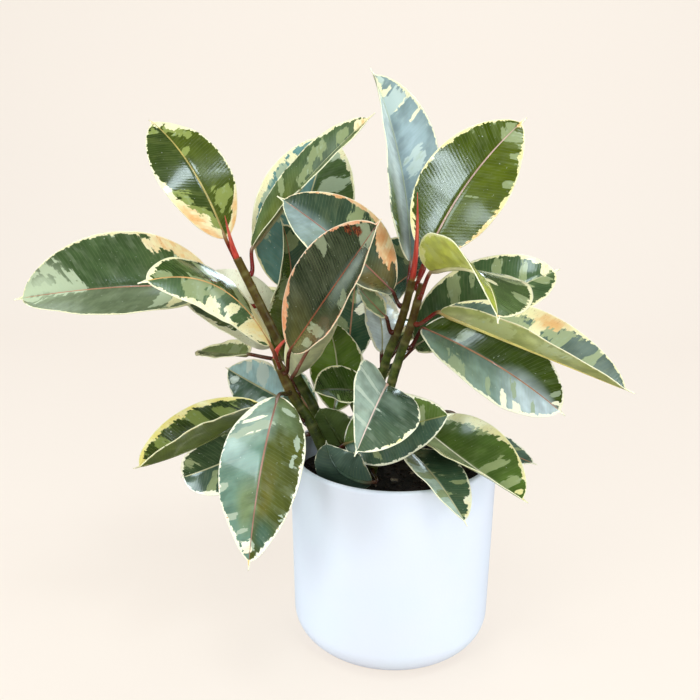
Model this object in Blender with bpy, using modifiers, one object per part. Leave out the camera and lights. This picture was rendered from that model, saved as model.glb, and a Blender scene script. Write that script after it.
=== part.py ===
"""Potted variegated rubber plant: a white ceramic pot, soil, five stems, their buds and forty-four leaves.

The plant stands on the XY plane with +Z up and the middle of the pot's foot at the origin.
Lengths are in metres, written as millimetres times MM. The front of the plant faces -Y.
"""
import math

import bmesh
import bpy
from mathutils import Vector, noise
from mathutils.bvhtree import BVHTree

MM = 0.001

# Pot
POT_RADIUS = 85.0 * MM
POT_FOOT_RADIUS = 82.5 * MM
POT_HEIGHT = 165.0 * MM
POT_WALL = 5.5 * MM
POT_LIP = 2.6 * MM
POT_CORNER = 24.0 * MM
POT_FLOOR = 9.0 * MM
POT_INNER_CORNER = 18.0 * MM
POT_STEPS = 40

# Soil
SOIL_LEVEL = 143.0 * MM
SOIL_GAP = 0.4 * MM
SOIL_STEPS = 32
SOIL_RINGS = 6
SOIL_EDGE_DROP = 2.0 * MM
LUMP_HEIGHT = 2.2 * MM
LUMPS_PER_METRE = 45.0
CRUMBS_PER_METRE = 110.0
HOLE_GAP = 0.45 * MM
HOLE_REACH = 12.0 * MM
HOLE_SIDES = 16

# Stems and petioles
STEM_STEPS = 3
STEM_DEPTH = 24.0 * MM
STEM_TAPER = 0.30
NODE_SWELL = 1.10
NODE_SPACING = 24.0 * MM
NODE_SHARE = 0.17
PETIOLE_RADIUS = 1.8 * MM
PETIOLE_GAP = 0.45 * MM
SEAT_REACH = 15.0 * MM
PETIOLE_STUB = 3.0 * MM
PETIOLE_FLARE = 0.25
RING = 10
BUD_RADIUS = 2.4 * MM
BUD_GAP = 0.7 * MM
BUD_BEND = 0.3
BUD_SHAPE = (0.95, 1.0, 0.9, 0.76, 0.6, 0.42, 0.24, 0.1)

# Leaf blade
BLADE_THICKNESS = 0.9 * MM
MIDRIB_DEPTH = 0.9 * MM
BLADE_ROWS = (0.03, 0.13, 0.28, 0.45, 0.62, 0.77, 0.88, 0.955, 1.0)
PETIOLE_ROWS = (1.0, 0.5, 0.0)
ACROSS = (-1.0, -0.5, 0.0, 0.5, 1.0)
BODY_END = 0.95
TIP_START = 0.86
TIP_WIDTH = 0.10

# Each stem's radius and its centre line in millimetres, from the soil to the growing tip
STEMS = {
    "left_tall": (4.9, [(-56, 22, 143), (-66, 22, 186), (-82, 20, 219), (-97, 17, 252),
                        (-112, 13, 286), (-127, 10, 320)]),
    "left_short": (5.2, [(-47, -12, 143), (-68, -5, 188), (-78, -4, 203), (-88, -3, 222),
                         (-96, -3, 242)]),
    "right_back": (4.3, [(-28, 8, 148), (-20, 7, 187), (-10, 6, 226), (-5, 5, 246), (3, 4, 268),
                         (8, 3, 287), (12, 1, 306)]),
    "right_front": (4.3, [(-17, -8, 148), (-10, -8, 185), (-3, -8, 221), (5, -8, 250),
                          (11, -9, 269), (16, -10, 290), (20, -10, 306)]),
    "back": (4.3, [(-18, 44, 146), (-40, 64, 190), (-58, 78, 228), (-70, 86, 258)]),
}

# Buds: the red sheaths that stand on the growing tips, with their tips in millimetres
BUDS = {
    "left_tall": (-134, 2, 355),
    "left_short": (-82, -4, 263),
    "right_back": (14, -26, 377),
    "back": (-75, 90, 288),
}

LEAVES = []


def leaf(name, stem, height, base, tip, width, face, droop=8, sway=0, twist=0, folds=(12, 12), cup=10):
    """One leaf, in millimetres and degrees.

    height is where its petiole leaves the stem; base and tip are the ends of the blade; width is its
    greatest width. face is where the upper side looks: its turn from the front towards +X, and its rise.
    droop lifts the middle of the midrib along the face, and sway bends it sideways. twist turns the blade
    from base to tip. folds raise the left and the right half, and cup curls them further to the margin.
    """
    LEAVES.append({
        "name": "leaf_" + name, "stem": stem, "height": height * MM, "base": Vector(base) * MM,
        "tip": Vector(tip) * MM, "width": width * MM, "face": face, "droop": droop * MM, "sway": sway * MM,
        "twist": twist, "folds": folds, "cup": cup,
    })


# Leaves on the left
leaf("left_top", "left_tall", 312, (-137, 16, 335), (-209, 70, 425), 60, (19, 36), droop=18, sway=2, twist=-9,
     folds=(0, -6), cup=0)
leaf("left_long", "left_tall", 282, (-149, 20, 295), (-303, -11, 288), 88, (0, 37), droop=14, sway=-2, twist=4,
     folds=(27, 24), cup=20)
leaf("left_front", "left_short", 235, (-97, -20, 257), (-181, -78, 317), 63, (-5, 73), droop=19, sway=17,
     twist=-8, folds=(-22, 6), cup=-4)
leaf("left_behind", "left_tall", 212, (-104, 52, 241), (-188, 49, 283), 63, (-4, 42), droop=27, twist=17,
     folds=(21, 15), cup=14)
leaf("left_far", "left_tall", 236, (-124, 29, 235), (-181, 85, 221), 40, (11, 64), droop=0, sway=-1, twist=2,
     folds=(14, 4), cup=8)
leaf("left_inner", "left_short", 186, (-94, 19, 199), (-137, -3, 233), 43, (-18, 38), droop=-2, twist=-6,
     folds=(-3, 8), cup=3)
leaf("left_folded", "left_short", 192, (-105, -17, 205), (-192, -83, 178), 65, (-9, 50), droop=-18, sway=6,
     twist=10, folds=(74, 12), cup=12)
leaf("left_lower", "left_short", 180, (-102, 10, 166), (-180, 2, 132), 52, (8, 20), droop=26, sway=-1, twist=1,
     folds=(15, 20), cup=14)
leaf("left_hanging", "left_short", 214, (-90, -35, 220), (-104, -106, 110), 67, (-14, 20), droop=17, sway=-3,
     twist=27, folds=(5, -2), cup=3)

# Leaves in the middle
leaf("mid_dark", "left_short", 229, (-81, -24, 255), (-11, -77, 364), 71, (-17, 35), droop=-6, sway=-5,
     twist=-5, folds=(10, 21), cup=13)
leaf("mid_broad", "right_back", 284, (-3, 6, 296), (-92, -4, 371), 69, (26, 33), droop=5, sway=1, twist=-25,
     folds=(18, 16), cup=13)
leaf("mid_narrow", "left_tall", 305, (-116, 19, 327), (-19, 27, 432), 63, (-2, 52), droop=-4, sway=-9,
     twist=19, folds=(-8, 49), cup=-5)
leaf("mid_large", "back", 245, (-97, 65, 285), (-60, 108, 415), 87, (3, 23), droop=18, sway=1,
     folds=(14, 13), cup=11)
leaf("mid_upright", "left_tall", 220, (-99, 42, 228), (-93, 19, 351), 58, (27, 15), droop=-8, sway=13,
     twist=60, folds=(29, 12), cup=16)
leaf("mid_turned", "left_short", 207, (-84, 6, 223), (-47, 19, 285), 39, (198, -1), droop=2, twist=-14,
     folds=(25, 12), cup=15)
leaf("mid_bright", "left_tall", 174, (-51, 20, 189), (-59, 37, 266), 48, (1, 25), droop=-8, sway=6, twist=-2,
     folds=(11, 9), cup=8)
leaf("mid_low", "right_back", 200, (-19, 20, 206), (-65, -15, 218), 40, (0, 45), droop=-6, sway=7, twist=-5,
     folds=(17, 15), cup=13)
leaf("mid_blue", "left_tall", 158, (-71, 40, 177), (-98, 60, 215), 32, (-12, 26), droop=7, sway=1, twist=2,
     folds=(13, 19), cup=13)
leaf("mid_mottled", "back", 205, (-41, 53, 222), (-35, 75, 298), 41, (0, 25), droop=6, folds=(12, 12), cup=10)
leaf("inner_pale", "right_back", 232, (-11, 19, 242), (-25, 38, 296), 32, (24, 10), droop=6, sway=3, twist=-5,
     folds=(14, 12), cup=11)
leaf("inner_slim", "right_back", 262, (-8, 0, 277), (-31, 5, 301), 22, (48, 46), droop=1, sway=-2, twist=3,
     folds=(6, 12), cup=8)
leaf("inner_dark", "right_back", 296, (22, 23, 312), (-46, 90, 241), 77, (2, 38), droop=-15, sway=15, twist=-2,
     folds=(24, 10), cup=13)

# Leaves on the right
leaf("right_top", "right_back", 301, (11, 13, 319), (-25, 76, 467), 69, (22, 11), droop=13, sway=3, twist=30,
     folds=(39, 36), cup=28)
leaf("right_glossy", "right_front", 300, (23, -5, 327), (97, 26, 429), 69, (-3, 31), droop=7, sway=-6,
     twist=-2, folds=(9, 4), cup=6)
leaf("right_twisted", "right_front", 296, (26, -28, 319), (60, -165, 315), 77, (41, 39), droop=18, sway=-3,
     twist=-22, folds=(9, 12), cup=7)
leaf("right_broad", "right_front", 243, (17, 25, 246), (134, 43, 309), 71, (0, 35), droop=25, sway=3,
     twist=17, folds=(18, 28), cup=17)
leaf("right_folded", "right_front", 275, (34, -20, 286), (169, -79, 244), 62, (0, 50), droop=3, sway=2,
     twist=20, folds=(16, 72), cup=11)
leaf("right_drooping", "right_front", 255, (22, -8, 270), (131, -35, 210), 67, (-1, 39), droop=20, sway=2,
     twist=47, folds=(23, 14), cup=15)

# Leaves low over the rim
leaf("low_centre", "right_front", 219, (-6, -30, 230), (-26, -121, 209), 67, (23, 39), droop=8, sway=2,
     twist=-15, folds=(8, 37), cup=5)
leaf("low_wide", "left_short", 160, (-39, -13, 173), (44, -63, 220), 56, (2, 35), droop=1, sway=-1, twist=5,
     folds=(12, 6), cup=8)
leaf("low_hanging", "right_front", 172, (13, -17, 170), (53, -113, 155), 46, (26, 31), droop=6, sway=1,
     twist=-9, folds=(11, 19), cup=12)
leaf("low_right", "right_front", 184, (20, -8, 190), (97, -94, 165), 70, (2, 47), droop=-7, sway=-1,
     twist=-25, folds=(10, 52), cup=10)
leaf("low_far_right", "right_back", 172, (51, 10, 192), (114, -26, 165), 44, (15, 71), droop=-7, sway=-2, twist=7,
     folds=(-14, 10), cup=0)
leaf("low_rim", "right_front", 150, (-16, -50, 157), (-51, -53, 192), 42, (180, 18), droop=-3, sway=10,
     folds=(6, 6), cup=14)
leaf("low_inner", "left_short", 158, (-42, 7, 164), (-62, 7, 197), 34, (185, 15), droop=0, folds=(3, 0), cup=3)


# Leaves at the back of the crown
leaf("back_right", "right_back", 241, (16, 38, 260), (87, 101, 255), 48, (159, 80), droop=6, folds=(14, 16),
     cup=13)
leaf("back_right_low", "right_back", 162, (-9, 31, 180), (22, 126, 137), 56, (130, 59), droop=17, twist=-9,
     folds=(16, 10), cup=7)
leaf("back_high", "back", 242, (-67, 88, 278), (-97, 153, 375), 66, (205, 59), droop=18, sway=2, twist=-3,
     folds=(15, 18), cup=13)
leaf("back_top", "back", 232, (-43, 113, 247), (22, 174, 292), 53, (158, 75), droop=6, twist=-4, folds=(19, 8),
     cup=9)
leaf("back_left", "back", 210, (-80, 87, 233), (-164, 135, 259), 51, (248, 74), droop=14, sway=3, twist=2,
     folds=(12, 16), cup=9)
leaf("back_right_middle", "right_back", 221, (-2, 38, 239), (24, 139, 235), 60, (182, 81), droop=12, twist=-5,
     folds=(11, 10), cup=13)
leaf("back_low", "right_back", 193, (-13, 42, 209), (-31, 137, 176), 58, (175, 57), droop=10, sway=-3, twist=9,
     folds=(15, 19), cup=11)
leaf("back_middle", "back", 222, (-39, 88, 230), (49, 111, 215), 47, (133, 79), droop=12, sway=-3, twist=3,
     folds=(13, 17), cup=14)
leaf("back_rim", "back", 190, (-65, 88, 203), (-129, 154, 226), 55, (244, 64), droop=10, sway=1, twist=-12,
     folds=(15, 12), cup=14)


def direction(turn, rise):
    """Unit vector from a turn from the front towards +X and a rise, in degrees."""
    a = math.radians(turn)
    e = math.radians(rise)
    return Vector((math.sin(a) * math.cos(e), -math.cos(a) * math.cos(e), math.sin(e)))


def outline(s):
    """Half width of a blade, as a share of its greatest, at s from base 0 to tip 1."""
    body = min(s / BODY_END, 1.0)
    width = max(math.sin(math.pi * body ** 0.9), 0.0) ** 0.62
    if s > TIP_START:
        width = max(width, min(TIP_WIDTH, max(0.012, TIP_WIDTH * (1.0 - s) / 0.12)))
    return width


def material(name, colour, roughness, metallic=0.0):
    mat = bpy.data.materials.new(name)
    mat.use_nodes = True
    shader = mat.node_tree.nodes["Principled BSDF"]
    shader.inputs["Base Color"].default_value = (*colour, 1.0)
    shader.inputs["Roughness"].default_value = roughness
    shader.inputs["Metallic"].default_value = metallic
    return mat


def add_object(name, data, collection, mat=None):
    obj = bpy.data.objects.new(name, data)
    collection.objects.link(obj)
    if mat:
        obj.data.materials.append(mat)
    return obj


def arc(centre_r, centre_z, radius, start, end, count):
    """Points of an arc in the profile plane, from start to end in degrees."""
    points = []
    for i in range(count + 1):
        a = math.radians(start + (end - start) * i / count)
        points.append((centre_r + radius * math.cos(a), centre_z + radius * math.sin(a)))
    return points


def turned(name, profile, steps, collection, mat):
    """A profile of (radius, height) points turned round the Z axis."""
    mesh = bpy.data.meshes.new(name)
    edges = [(i, i + 1) for i in range(len(profile) - 1)]
    mesh.from_pydata([(r, 0.0, z) for r, z in profile], edges, [])
    obj = add_object(name, mesh, collection, mat)
    screw = obj.modifiers.new("turn", "SCREW")
    screw.steps = steps
    screw.render_steps = steps
    screw.use_merge_vertices = True
    screw.merge_threshold = 0.00001
    screw.use_smooth_shade = True
    return obj


def build_pot(collection):
    inner = POT_RADIUS - POT_WALL
    foot_inner = POT_FOOT_RADIUS - POT_WALL
    slope = (POT_RADIUS - POT_FOOT_RADIUS) / POT_HEIGHT
    outer_start = POT_FOOT_RADIUS + slope * POT_CORNER
    profile = [(0.0, POT_FLOOR)]
    profile += arc(foot_inner - POT_INNER_CORNER, POT_FLOOR + POT_INNER_CORNER, POT_INNER_CORNER, -90, 0, 4)
    profile += arc(inner + POT_LIP, POT_HEIGHT - POT_LIP, POT_LIP, 180, 90, 3)
    profile += arc(POT_RADIUS - POT_LIP, POT_HEIGHT - POT_LIP, POT_LIP, 90, 0, 3)
    profile += arc(outer_start - POT_CORNER, POT_CORNER, POT_CORNER, 0, -90, 7)
    profile += [(0.0, 0.0)]
    return turned("pot", profile, POT_STEPS, collection, material("pot", (0.86, 0.88, 0.92), 0.45))


def smooth_path(points, count):
    """Points of a smooth curve through a stem's points, count to each stretch, straight under the soil."""
    pts = [Vector(p) * MM for p in points]
    rise = pts[1] - pts[0]
    pts.insert(0, pts[0] - rise * STEM_DEPTH / rise.z)
    ends = [pts[0] * 2 - pts[1]] + pts + [pts[-1] * 2 - pts[-2]]
    path = []
    for i in range(len(pts) - 1):
        a, b, c, d = ends[i:i + 4]
        for k in range(count):
            t = k / count
            path.append(0.5 * (2 * b + (c - a) * t + (2 * a - 5 * b + 4 * c - d) * t ** 2
                               + (3 * b - a - 3 * c + d) * t ** 3))
    path.append(pts[-1])
    return path


def stem_at(stem, height):
    """Centre and direction of a stem where it reaches a height."""
    path = smooth_path(STEMS[stem][1], STEM_STEPS)
    for a, b in zip(path, path[1:]):
        if b.z >= height:
            share = (height - a.z) / (b.z - a.z)
            return a.lerp(b, share), (b - a).normalized()
    return path[-1], (path[-1] - path[-2]).normalized()


def tube(name, path, radii, resolution, collection, mat):
    """A round tube along a path, with a radius at each point and closed ends."""
    curve = bpy.data.curves.new(name, "CURVE")
    curve.dimensions = "3D"
    curve.bevel_depth = 1.0
    curve.bevel_resolution = resolution
    curve.use_fill_caps = True
    curve.resolution_u = 1
    spline = curve.splines.new("POLY")
    spline.points.add(len(path) - 1)
    for point, place, radius in zip(spline.points, path, radii):
        point.co = (*place, 1.0)
        point.radius = radius
    return add_object(name, curve, collection, mat)


def build_stems(collection):
    """The stems, and a search tree of each one's surface for seating the petioles."""
    trees = {}
    mat = material("stem", (0.12, 0.14, 0.05), 0.6)
    for stem, (radius, points) in STEMS.items():
        path = smooth_path(points, STEM_STEPS)
        length = 0.0
        radii = []
        for i, place in enumerate(path):
            if i:
                length += (place - path[i - 1]).length
            near_node = abs((length / NODE_SPACING) % 1.0 - 0.5) < NODE_SHARE
            share = i / (len(path) - 1)
            swell = NODE_SWELL if near_node and place.z > SOIL_LEVEL + HOLE_REACH else 1.0
            radii.append(radius * MM * (1.0 - STEM_TAPER * share) * swell)
        obj = tube("stem_" + stem, path, radii, 2, collection, mat)
        graph = bpy.context.evaluated_depsgraph_get()
        mesh = bpy.data.meshes.new_from_object(obj.evaluated_get(graph))
        form = bmesh.new()
        form.from_mesh(mesh)
        trees[stem] = BVHTree.FromBMesh(form)
        form.free()
        bpy.data.meshes.remove(mesh)
    return trees


def build_buds(collection):
    mat = material("bud", (0.62, 0.09, 0.06), 0.4)
    for stem, tip in BUDS.items():
        path = smooth_path(STEMS[stem][1], STEM_STEPS)
        top = path[-1]
        axis = (path[-1] - path[-2]).normalized()
        start = top + axis * BUD_GAP
        end = Vector(tip) * MM
        bend = start + axis * (end - start).length * BUD_BEND
        places = []
        for i in range(len(BUD_SHAPE)):
            t = i / (len(BUD_SHAPE) - 1)
            places.append(start * (1 - t) ** 2 + bend * 2 * t * (1 - t) + end * t ** 2)
        radii = [BUD_RADIUS * share for share in BUD_SHAPE]
        tube("bud_" + stem, places, radii, 2, collection, mat)


def build_soil(collection, cutters):
    """Soil that fills the pot, uneven on top, with a plain hole for each stem."""
    inner = POT_RADIUS - POT_WALL - SOIL_GAP
    foot_inner = POT_FOOT_RADIUS - POT_WALL - SOIL_GAP
    floor = POT_FLOOR + SOIL_GAP
    slope = (inner - foot_inner) / (POT_HEIGHT - POT_FLOOR)
    top_radius = foot_inner + slope * (SOIL_LEVEL - POT_FLOOR) - 0.5 * MM
    profile = [(top_radius * i / SOIL_RINGS, SOIL_LEVEL) for i in range(SOIL_RINGS + 1)]
    profile += arc(foot_inner - POT_INNER_CORNER, floor + POT_INNER_CORNER, POT_INNER_CORNER - 0.3 * MM, 0, -90, 3)
    profile += [(0.0, floor)]
    shape = turned("soil_shape", profile, SOIL_STEPS, cutters, None)
    graph = bpy.context.evaluated_depsgraph_get()
    mesh = bpy.data.meshes.new_from_object(shape.evaluated_get(graph))
    bpy.data.objects.remove(shape)
    for vertex in mesh.vertices:
        radius = math.hypot(vertex.co.x, vertex.co.y)
        if abs(vertex.co.z - SOIL_LEVEL) < 0.1 * MM:
            lumps = noise.noise(vertex.co * LUMPS_PER_METRE) + 0.6 * noise.noise(vertex.co * CRUMBS_PER_METRE)
            vertex.co.z += LUMP_HEIGHT * lumps - SOIL_EDGE_DROP * (radius / top_radius) ** 4
    soil = add_object("soil", mesh, collection, material("soil", (0.035, 0.024, 0.016), 0.95))
    for stem, (radius, points) in STEMS.items():
        path = smooth_path(points, 1)
        axis = (path[1] - path[0]).normalized()
        start = path[0] - axis * HOLE_GAP
        end = path[1] + axis * HOLE_REACH
        size = radius * MM + HOLE_GAP
        bpy.ops.mesh.primitive_cylinder_add(
            vertices=HOLE_SIDES, radius=size, depth=(end - start).length, location=(start + end) / 2,
            rotation=axis.to_track_quat("Z", "Y").to_euler())
        cutter = bpy.context.object
        cutter.name = "hole_" + stem
        for owner in list(cutter.users_collection):
            owner.objects.unlink(cutter)
        cutters.objects.link(cutter)
        cutter.hide_render = True
        cutter.display_type = "WIRE"
        cut = soil.modifiers.new(cutter.name, "BOOLEAN")
        cut.operation = "DIFFERENCE"
        cut.solver = "EXACT"
        cut.object = cutter
    return soil


def blade_frames(spec):
    """Midrib point, direction, side and face for each row of a blade, the base first."""
    base, tip = spec["base"], spec["tip"]
    along = (tip - base).normalized()
    face = direction(*spec["face"])
    face = (face - along * face.dot(along)).normalized()
    side = along.cross(face)
    middle = (base + tip) / 2 + 2 * (spec["droop"] * face + spec["sway"] * side)
    frames = []
    for s in (0.0,) + BLADE_ROWS:
        place = base * (1 - s) ** 2 + middle * 2 * s * (1 - s) + tip * s ** 2
        heading = ((middle - base) * (1 - s) + (tip - middle) * s).normalized()
        up = (face - heading * face.dot(heading)).normalized()
        across = heading.cross(up)
        turn = math.radians(spec["twist"]) * (s - 0.5)
        frames.append((s, place, heading, across * math.cos(turn) - up * math.sin(turn),
                       up * math.cos(turn) + across * math.sin(turn)))
    return frames


def blade_ring(spec, s, place, across, up):
    """The points round a blade's section: those across its upper side, then those under it."""
    half = spec["width"] / 2 * outline(s)
    cup = math.radians(spec["cup"])
    upper = []
    lower = []
    lean = [math.radians(fold) for fold in spec["folds"]]
    middle_normal = (up * 2 * math.cos((lean[0] + lean[1]) / 2)
                     + across * 2 * math.sin((lean[0] - lean[1]) / 2)).normalized()
    for v in ACROSS:
        sign = -1.0 if v < 0 else 1.0
        fold = lean[0] if v < 0 else lean[1]
        rise = fold + cup * abs(v) / 2
        point = place + half * abs(v) * (sign * math.cos(rise) * across + math.sin(rise) * up)
        slope = fold + cup * abs(v)
        normal = middle_normal if v == 0 else up * math.cos(slope) - across * sign * math.sin(slope)
        upper.append(point + normal * BLADE_THICKNESS / 2)
        depth = BLADE_THICKNESS / 2
        if v == 0:
            depth += MIDRIB_DEPTH * (1.0 - s)
        lower.append(point - normal * depth)
    return upper + lower[::-1]


def round_ring(place, across, up, radius):
    """Points round a petiole, as many as in a blade's section and in the same order."""
    ring = []
    for k in range(RING):
        a = math.pi - 2 * math.pi * (k + 0.5) / RING
        ring.append(place + radius * (math.cos(a) * across + math.sin(a) * up))
    return ring


def seat(tree, centre, axis, outward, radius):
    """Point where a petiole's flat foot clears a stem's surface by the petiole gap."""
    side = axis.cross(outward)
    start = centre + outward * SEAT_REACH
    nearest = SEAT_REACH
    for k in range(RING + 1):
        a = 2 * math.pi * k / RING
        size = radius if k < RING else 0.0
        place = start + size * (math.cos(a) * axis + math.sin(a) * side)
        distance = tree.ray_cast(place, -outward)[3]
        if distance is not None:
            nearest = min(nearest, distance)
    return start - outward * (nearest - PETIOLE_GAP)


def petiole_rings(spec, frame, trees):
    """Rings of the petiole, from its foot on the stem to the blade's base."""
    _, base, heading, across, up = frame
    centre, axis = stem_at(spec["stem"], spec["height"])
    outward = base - centre
    outward = (outward - axis * outward.dot(axis)).normalized()
    foot = seat(trees[spec["stem"]], centre, axis, outward, PETIOLE_RADIUS * (1.0 + PETIOLE_FLARE))
    reach = (base - foot).length
    first = foot + outward * max(PETIOLE_STUB, 0.3 * reach)
    second = base - heading * 0.35 * reach
    rings = []
    last_heading = heading
    for t in PETIOLE_ROWS:
        u = 1 - t
        place = foot * u ** 3 + first * 3 * u * u * t + second * 3 * u * t * t + base * t ** 3
        tangent = ((first - foot) * u * u + (second - first) * 2 * u * t + (base - second) * t * t).normalized()
        turn = last_heading.rotation_difference(tangent)
        across = turn @ across
        up = turn @ up
        last_heading = tangent
        rings.append(round_ring(place, across, up, PETIOLE_RADIUS * (1.0 + PETIOLE_FLARE * u * u)))
    return rings[::-1]


def build_leaf(spec, trees, collection, mat):
    frames = blade_frames(spec)
    rings = petiole_rings(spec, frames[0], trees)
    rings += [blade_ring(spec, s, place, across, up) for s, place, _, across, up in frames[1:]]
    mesh = bpy.data.meshes.new(spec["name"])
    form = bmesh.new()
    rows = [[form.verts.new(point) for point in ring] for ring in rings]
    for first, second in zip(rows, rows[1:]):
        for k in range(RING):
            n = (k + 1) % RING
            # The diagonals run the same way on the upper and the lower side
            if k < RING // 2:
                form.faces.new((first[k], first[n], second[n]))
                form.faces.new((first[k], second[n], second[k]))
            else:
                form.faces.new((first[k], first[n], second[k]))
                form.faces.new((first[n], second[n], second[k]))
    form.faces.new(rows[0][::-1])
    form.faces.new(rows[-1])
    bmesh.ops.triangulate(form, faces=[f for f in form.faces if len(f.verts) > 4])
    form.to_mesh(mesh)
    form.free()
    mesh.shade_smooth()
    return add_object(spec["name"], mesh, collection, mat)


def build_leaves(trees, collection):
    for i, spec in enumerate(LEAVES):
        shade = 0.10 + 0.01 * (i % 5)
        mat = material(spec["name"], (shade, 1.7 * shade, 0.6 * shade), 0.4)
        build_leaf(spec, trees, collection, mat)


def main():
    for obj in list(bpy.data.objects):
        bpy.data.objects.remove(obj, do_unlink=True)
    plant = bpy.data.collections.new("potted_rubber_plant")
    cutters = bpy.data.collections.new("cutters")
    bpy.context.scene.collection.children.link(plant)
    bpy.context.scene.collection.children.link(cutters)
    build_pot(plant)
    build_soil(plant, cutters)
    trees = build_stems(plant)
    build_buds(plant)
    build_leaves(trees, plant)


main()
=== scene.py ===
"""The potted variegated rubber plant: fine leaves, stems, sheaths, soil and pot, with their materials.

Each piece stands for the solid of the same name. Lengths are in metres, written as millimetres times MM.
Along a leaf, s runs from 0 at the base of the blade to 1 at its tip. Across it, v runs from -1 to 1, with
-1 at the left margin for someone who sees the upper side with the tip up.
"""
import math

import bpy
import numpy as np
from mathutils import Matrix, Vector


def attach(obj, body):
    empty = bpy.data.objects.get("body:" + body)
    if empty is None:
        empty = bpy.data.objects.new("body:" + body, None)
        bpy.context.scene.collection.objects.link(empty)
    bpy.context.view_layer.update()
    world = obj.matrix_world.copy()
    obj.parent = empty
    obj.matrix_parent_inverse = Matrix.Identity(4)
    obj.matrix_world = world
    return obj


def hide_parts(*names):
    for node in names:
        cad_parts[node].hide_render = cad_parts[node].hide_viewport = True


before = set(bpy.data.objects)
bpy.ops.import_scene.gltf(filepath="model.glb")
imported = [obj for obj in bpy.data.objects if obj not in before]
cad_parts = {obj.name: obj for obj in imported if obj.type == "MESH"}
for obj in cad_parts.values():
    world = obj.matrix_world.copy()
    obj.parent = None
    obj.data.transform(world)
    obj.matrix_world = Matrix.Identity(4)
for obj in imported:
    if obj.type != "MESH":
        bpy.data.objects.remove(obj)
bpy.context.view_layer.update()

MM = 0.001

# Pot
POT_RADIUS = 85.0 * MM
POT_FOOT_RADIUS = 82.5 * MM
POT_HEIGHT = 165.0 * MM
POT_WALL = 5.5 * MM
POT_LIP = 2.6 * MM
POT_CORNER = 24.0 * MM
POT_FLOOR = 9.0 * MM
POT_INNER_CORNER = 18.0 * MM
POT_STEPS = 144
# Turned profiles start this far from the axis
AXIS_GAP = 0.5 * MM

# Soil
SOIL_LEVEL = 143.0 * MM
SOIL_GAP = 0.4 * MM
SOIL_EDGE_DROP = 2.0 * MM
SOIL_SINK = 0.6 * MM
SOIL_UNEVEN = 2.4 * MM
SOIL_SLACK = 0.3 * MM
SOIL_WAVES = 26
SOIL_WAVE_RATES = (60, 420)
SOIL_WAVE_FADE = 120
SOIL_RINGS = 56
SOIL_STEPS = 160
CRUMBS = 700
CRUMB_COLUMNS = 40
CRUMB_SIDES = 7
CRUMB_LEVELS = (-0.85, -0.45, 0.05, 0.5, 0.85)
CRUMB_SIZES = (0.7, 2.4)
CRUMB_SHAPE = (1.3, 0.8, 0.6)

# Stems, petioles and sheaths
STEM_FINE = 14
STEM_ROWS = 150
STEM_SIDES = 24
STEM_DEPTH = 24.0 * MM
STEM_TAPER = 0.30
STEM_UNEVEN = 0.03
SCAR_START = 30.0 * MM
SCAR_END_GAP = 4 * MM
SCAR_SPACING = 17.0 * MM
SCAR_SPREAD = (0.7, 1.35)
SCAR_HEIGHT = 0.2 * MM
SCAR_REACH = 1.5 * MM
PETIOLE_RADIUS = 1.55 * MM
PETIOLE_GAP = 0.45 * MM
PETIOLE_STUB = 3.0 * MM
PETIOLE_LIFT = 0.25
PETIOLE_LEAD = 0.24
PETIOLE_ROOT = 0.7
PETIOLE_FLARE = 0.25
PETIOLE_COLLAR = 0.35
PETIOLE_ROWS = 22
PETIOLE_SIDES = 14
BUD_RADIUS = 2.4 * MM
BUD_SEAT = 1.0 * MM
BUD_ROWS = 40
BUD_SIDES = 20
BUD_BEND = 0.3
BUD_FOLD = 0.10
BUD_FOLD_WIDTH = 0.05
BUD_WIND = 0.3

# Leaf blade
BODY_END = 0.95
BODY_LEAN = 0.9
BODY_ROUND = 0.62
TIP_START = 0.86
TIP_WIDTH = 0.10
TIP_TAPER = 0.12
TIP_LEAST = 0.012
BLADE_ROWS = 64
BLADE_START = 0.004
HALF_COLUMNS = (0.025, 0.06, 0.11, 0.18, 0.27, 0.37, 0.48, 0.59, 0.70, 0.80, 0.88, 0.94, 0.98, 1.0)
BLADE_HALF_THICKNESS = 0.32 * MM
GROOVE_DEPTH = 0.42 * MM
GROOVE_REACH = 1.3 * MM
MIDRIB_ROWS = 44
MIDRIB_START = 0.012
MIDRIB_END = 0.93
MIDRIB_RADIUS = 1.5 * MM
MIDRIB_LEAST = 0.2 * MM
MIDRIB_TAPER = 0.8
MIDRIB_GROWTH = 1.2
MIDRIB_SINK = 0.25 * MM
MIDRIB_SOFT = 0.1
# Long and short waves along the left and the right margin
WAVES = ((2.3, 5.1), (2.6, 4.7))
WAVE_HEIGHT = 0.55 * MM
WAVE_RISE = 2.5
VEIN_LEAN = 0.45
VEIN_SPACING = 2.7

STEMS = {
    "left_tall": (4.9, [(-56, 22, 143), (-66, 22, 186), (-82, 20, 219), (-97, 17, 252),
                        (-112, 13, 286), (-127, 10, 320)]),
    "left_short": (5.2, [(-47, -12, 143), (-68, -5, 188), (-78, -4, 203), (-88, -3, 222),
                         (-96, -3, 242)]),
    "right_back": (4.3, [(-28, 8, 148), (-20, 7, 187), (-10, 6, 226), (-5, 5, 246), (3, 4, 268),
                         (8, 3, 287), (12, 1, 306)]),
    "right_front": (4.3, [(-17, -8, 148), (-10, -8, 185), (-3, -8, 221), (5, -8, 250),
                          (11, -9, 269), (16, -10, 290), (20, -10, 306)]),
    "back": (4.3, [(-18, 44, 146), (-40, 64, 190), (-58, 78, 228), (-70, 86, 258)]),
}

# The tips of the red sheaths
BUDS = {
    "left_tall": (-134, 2, 355),
    "left_short": (-82, -4, 263),
    "right_back": (14, -26, 377),
    "back": (-75, 90, 288),
}

LEAVES = {}


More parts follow.
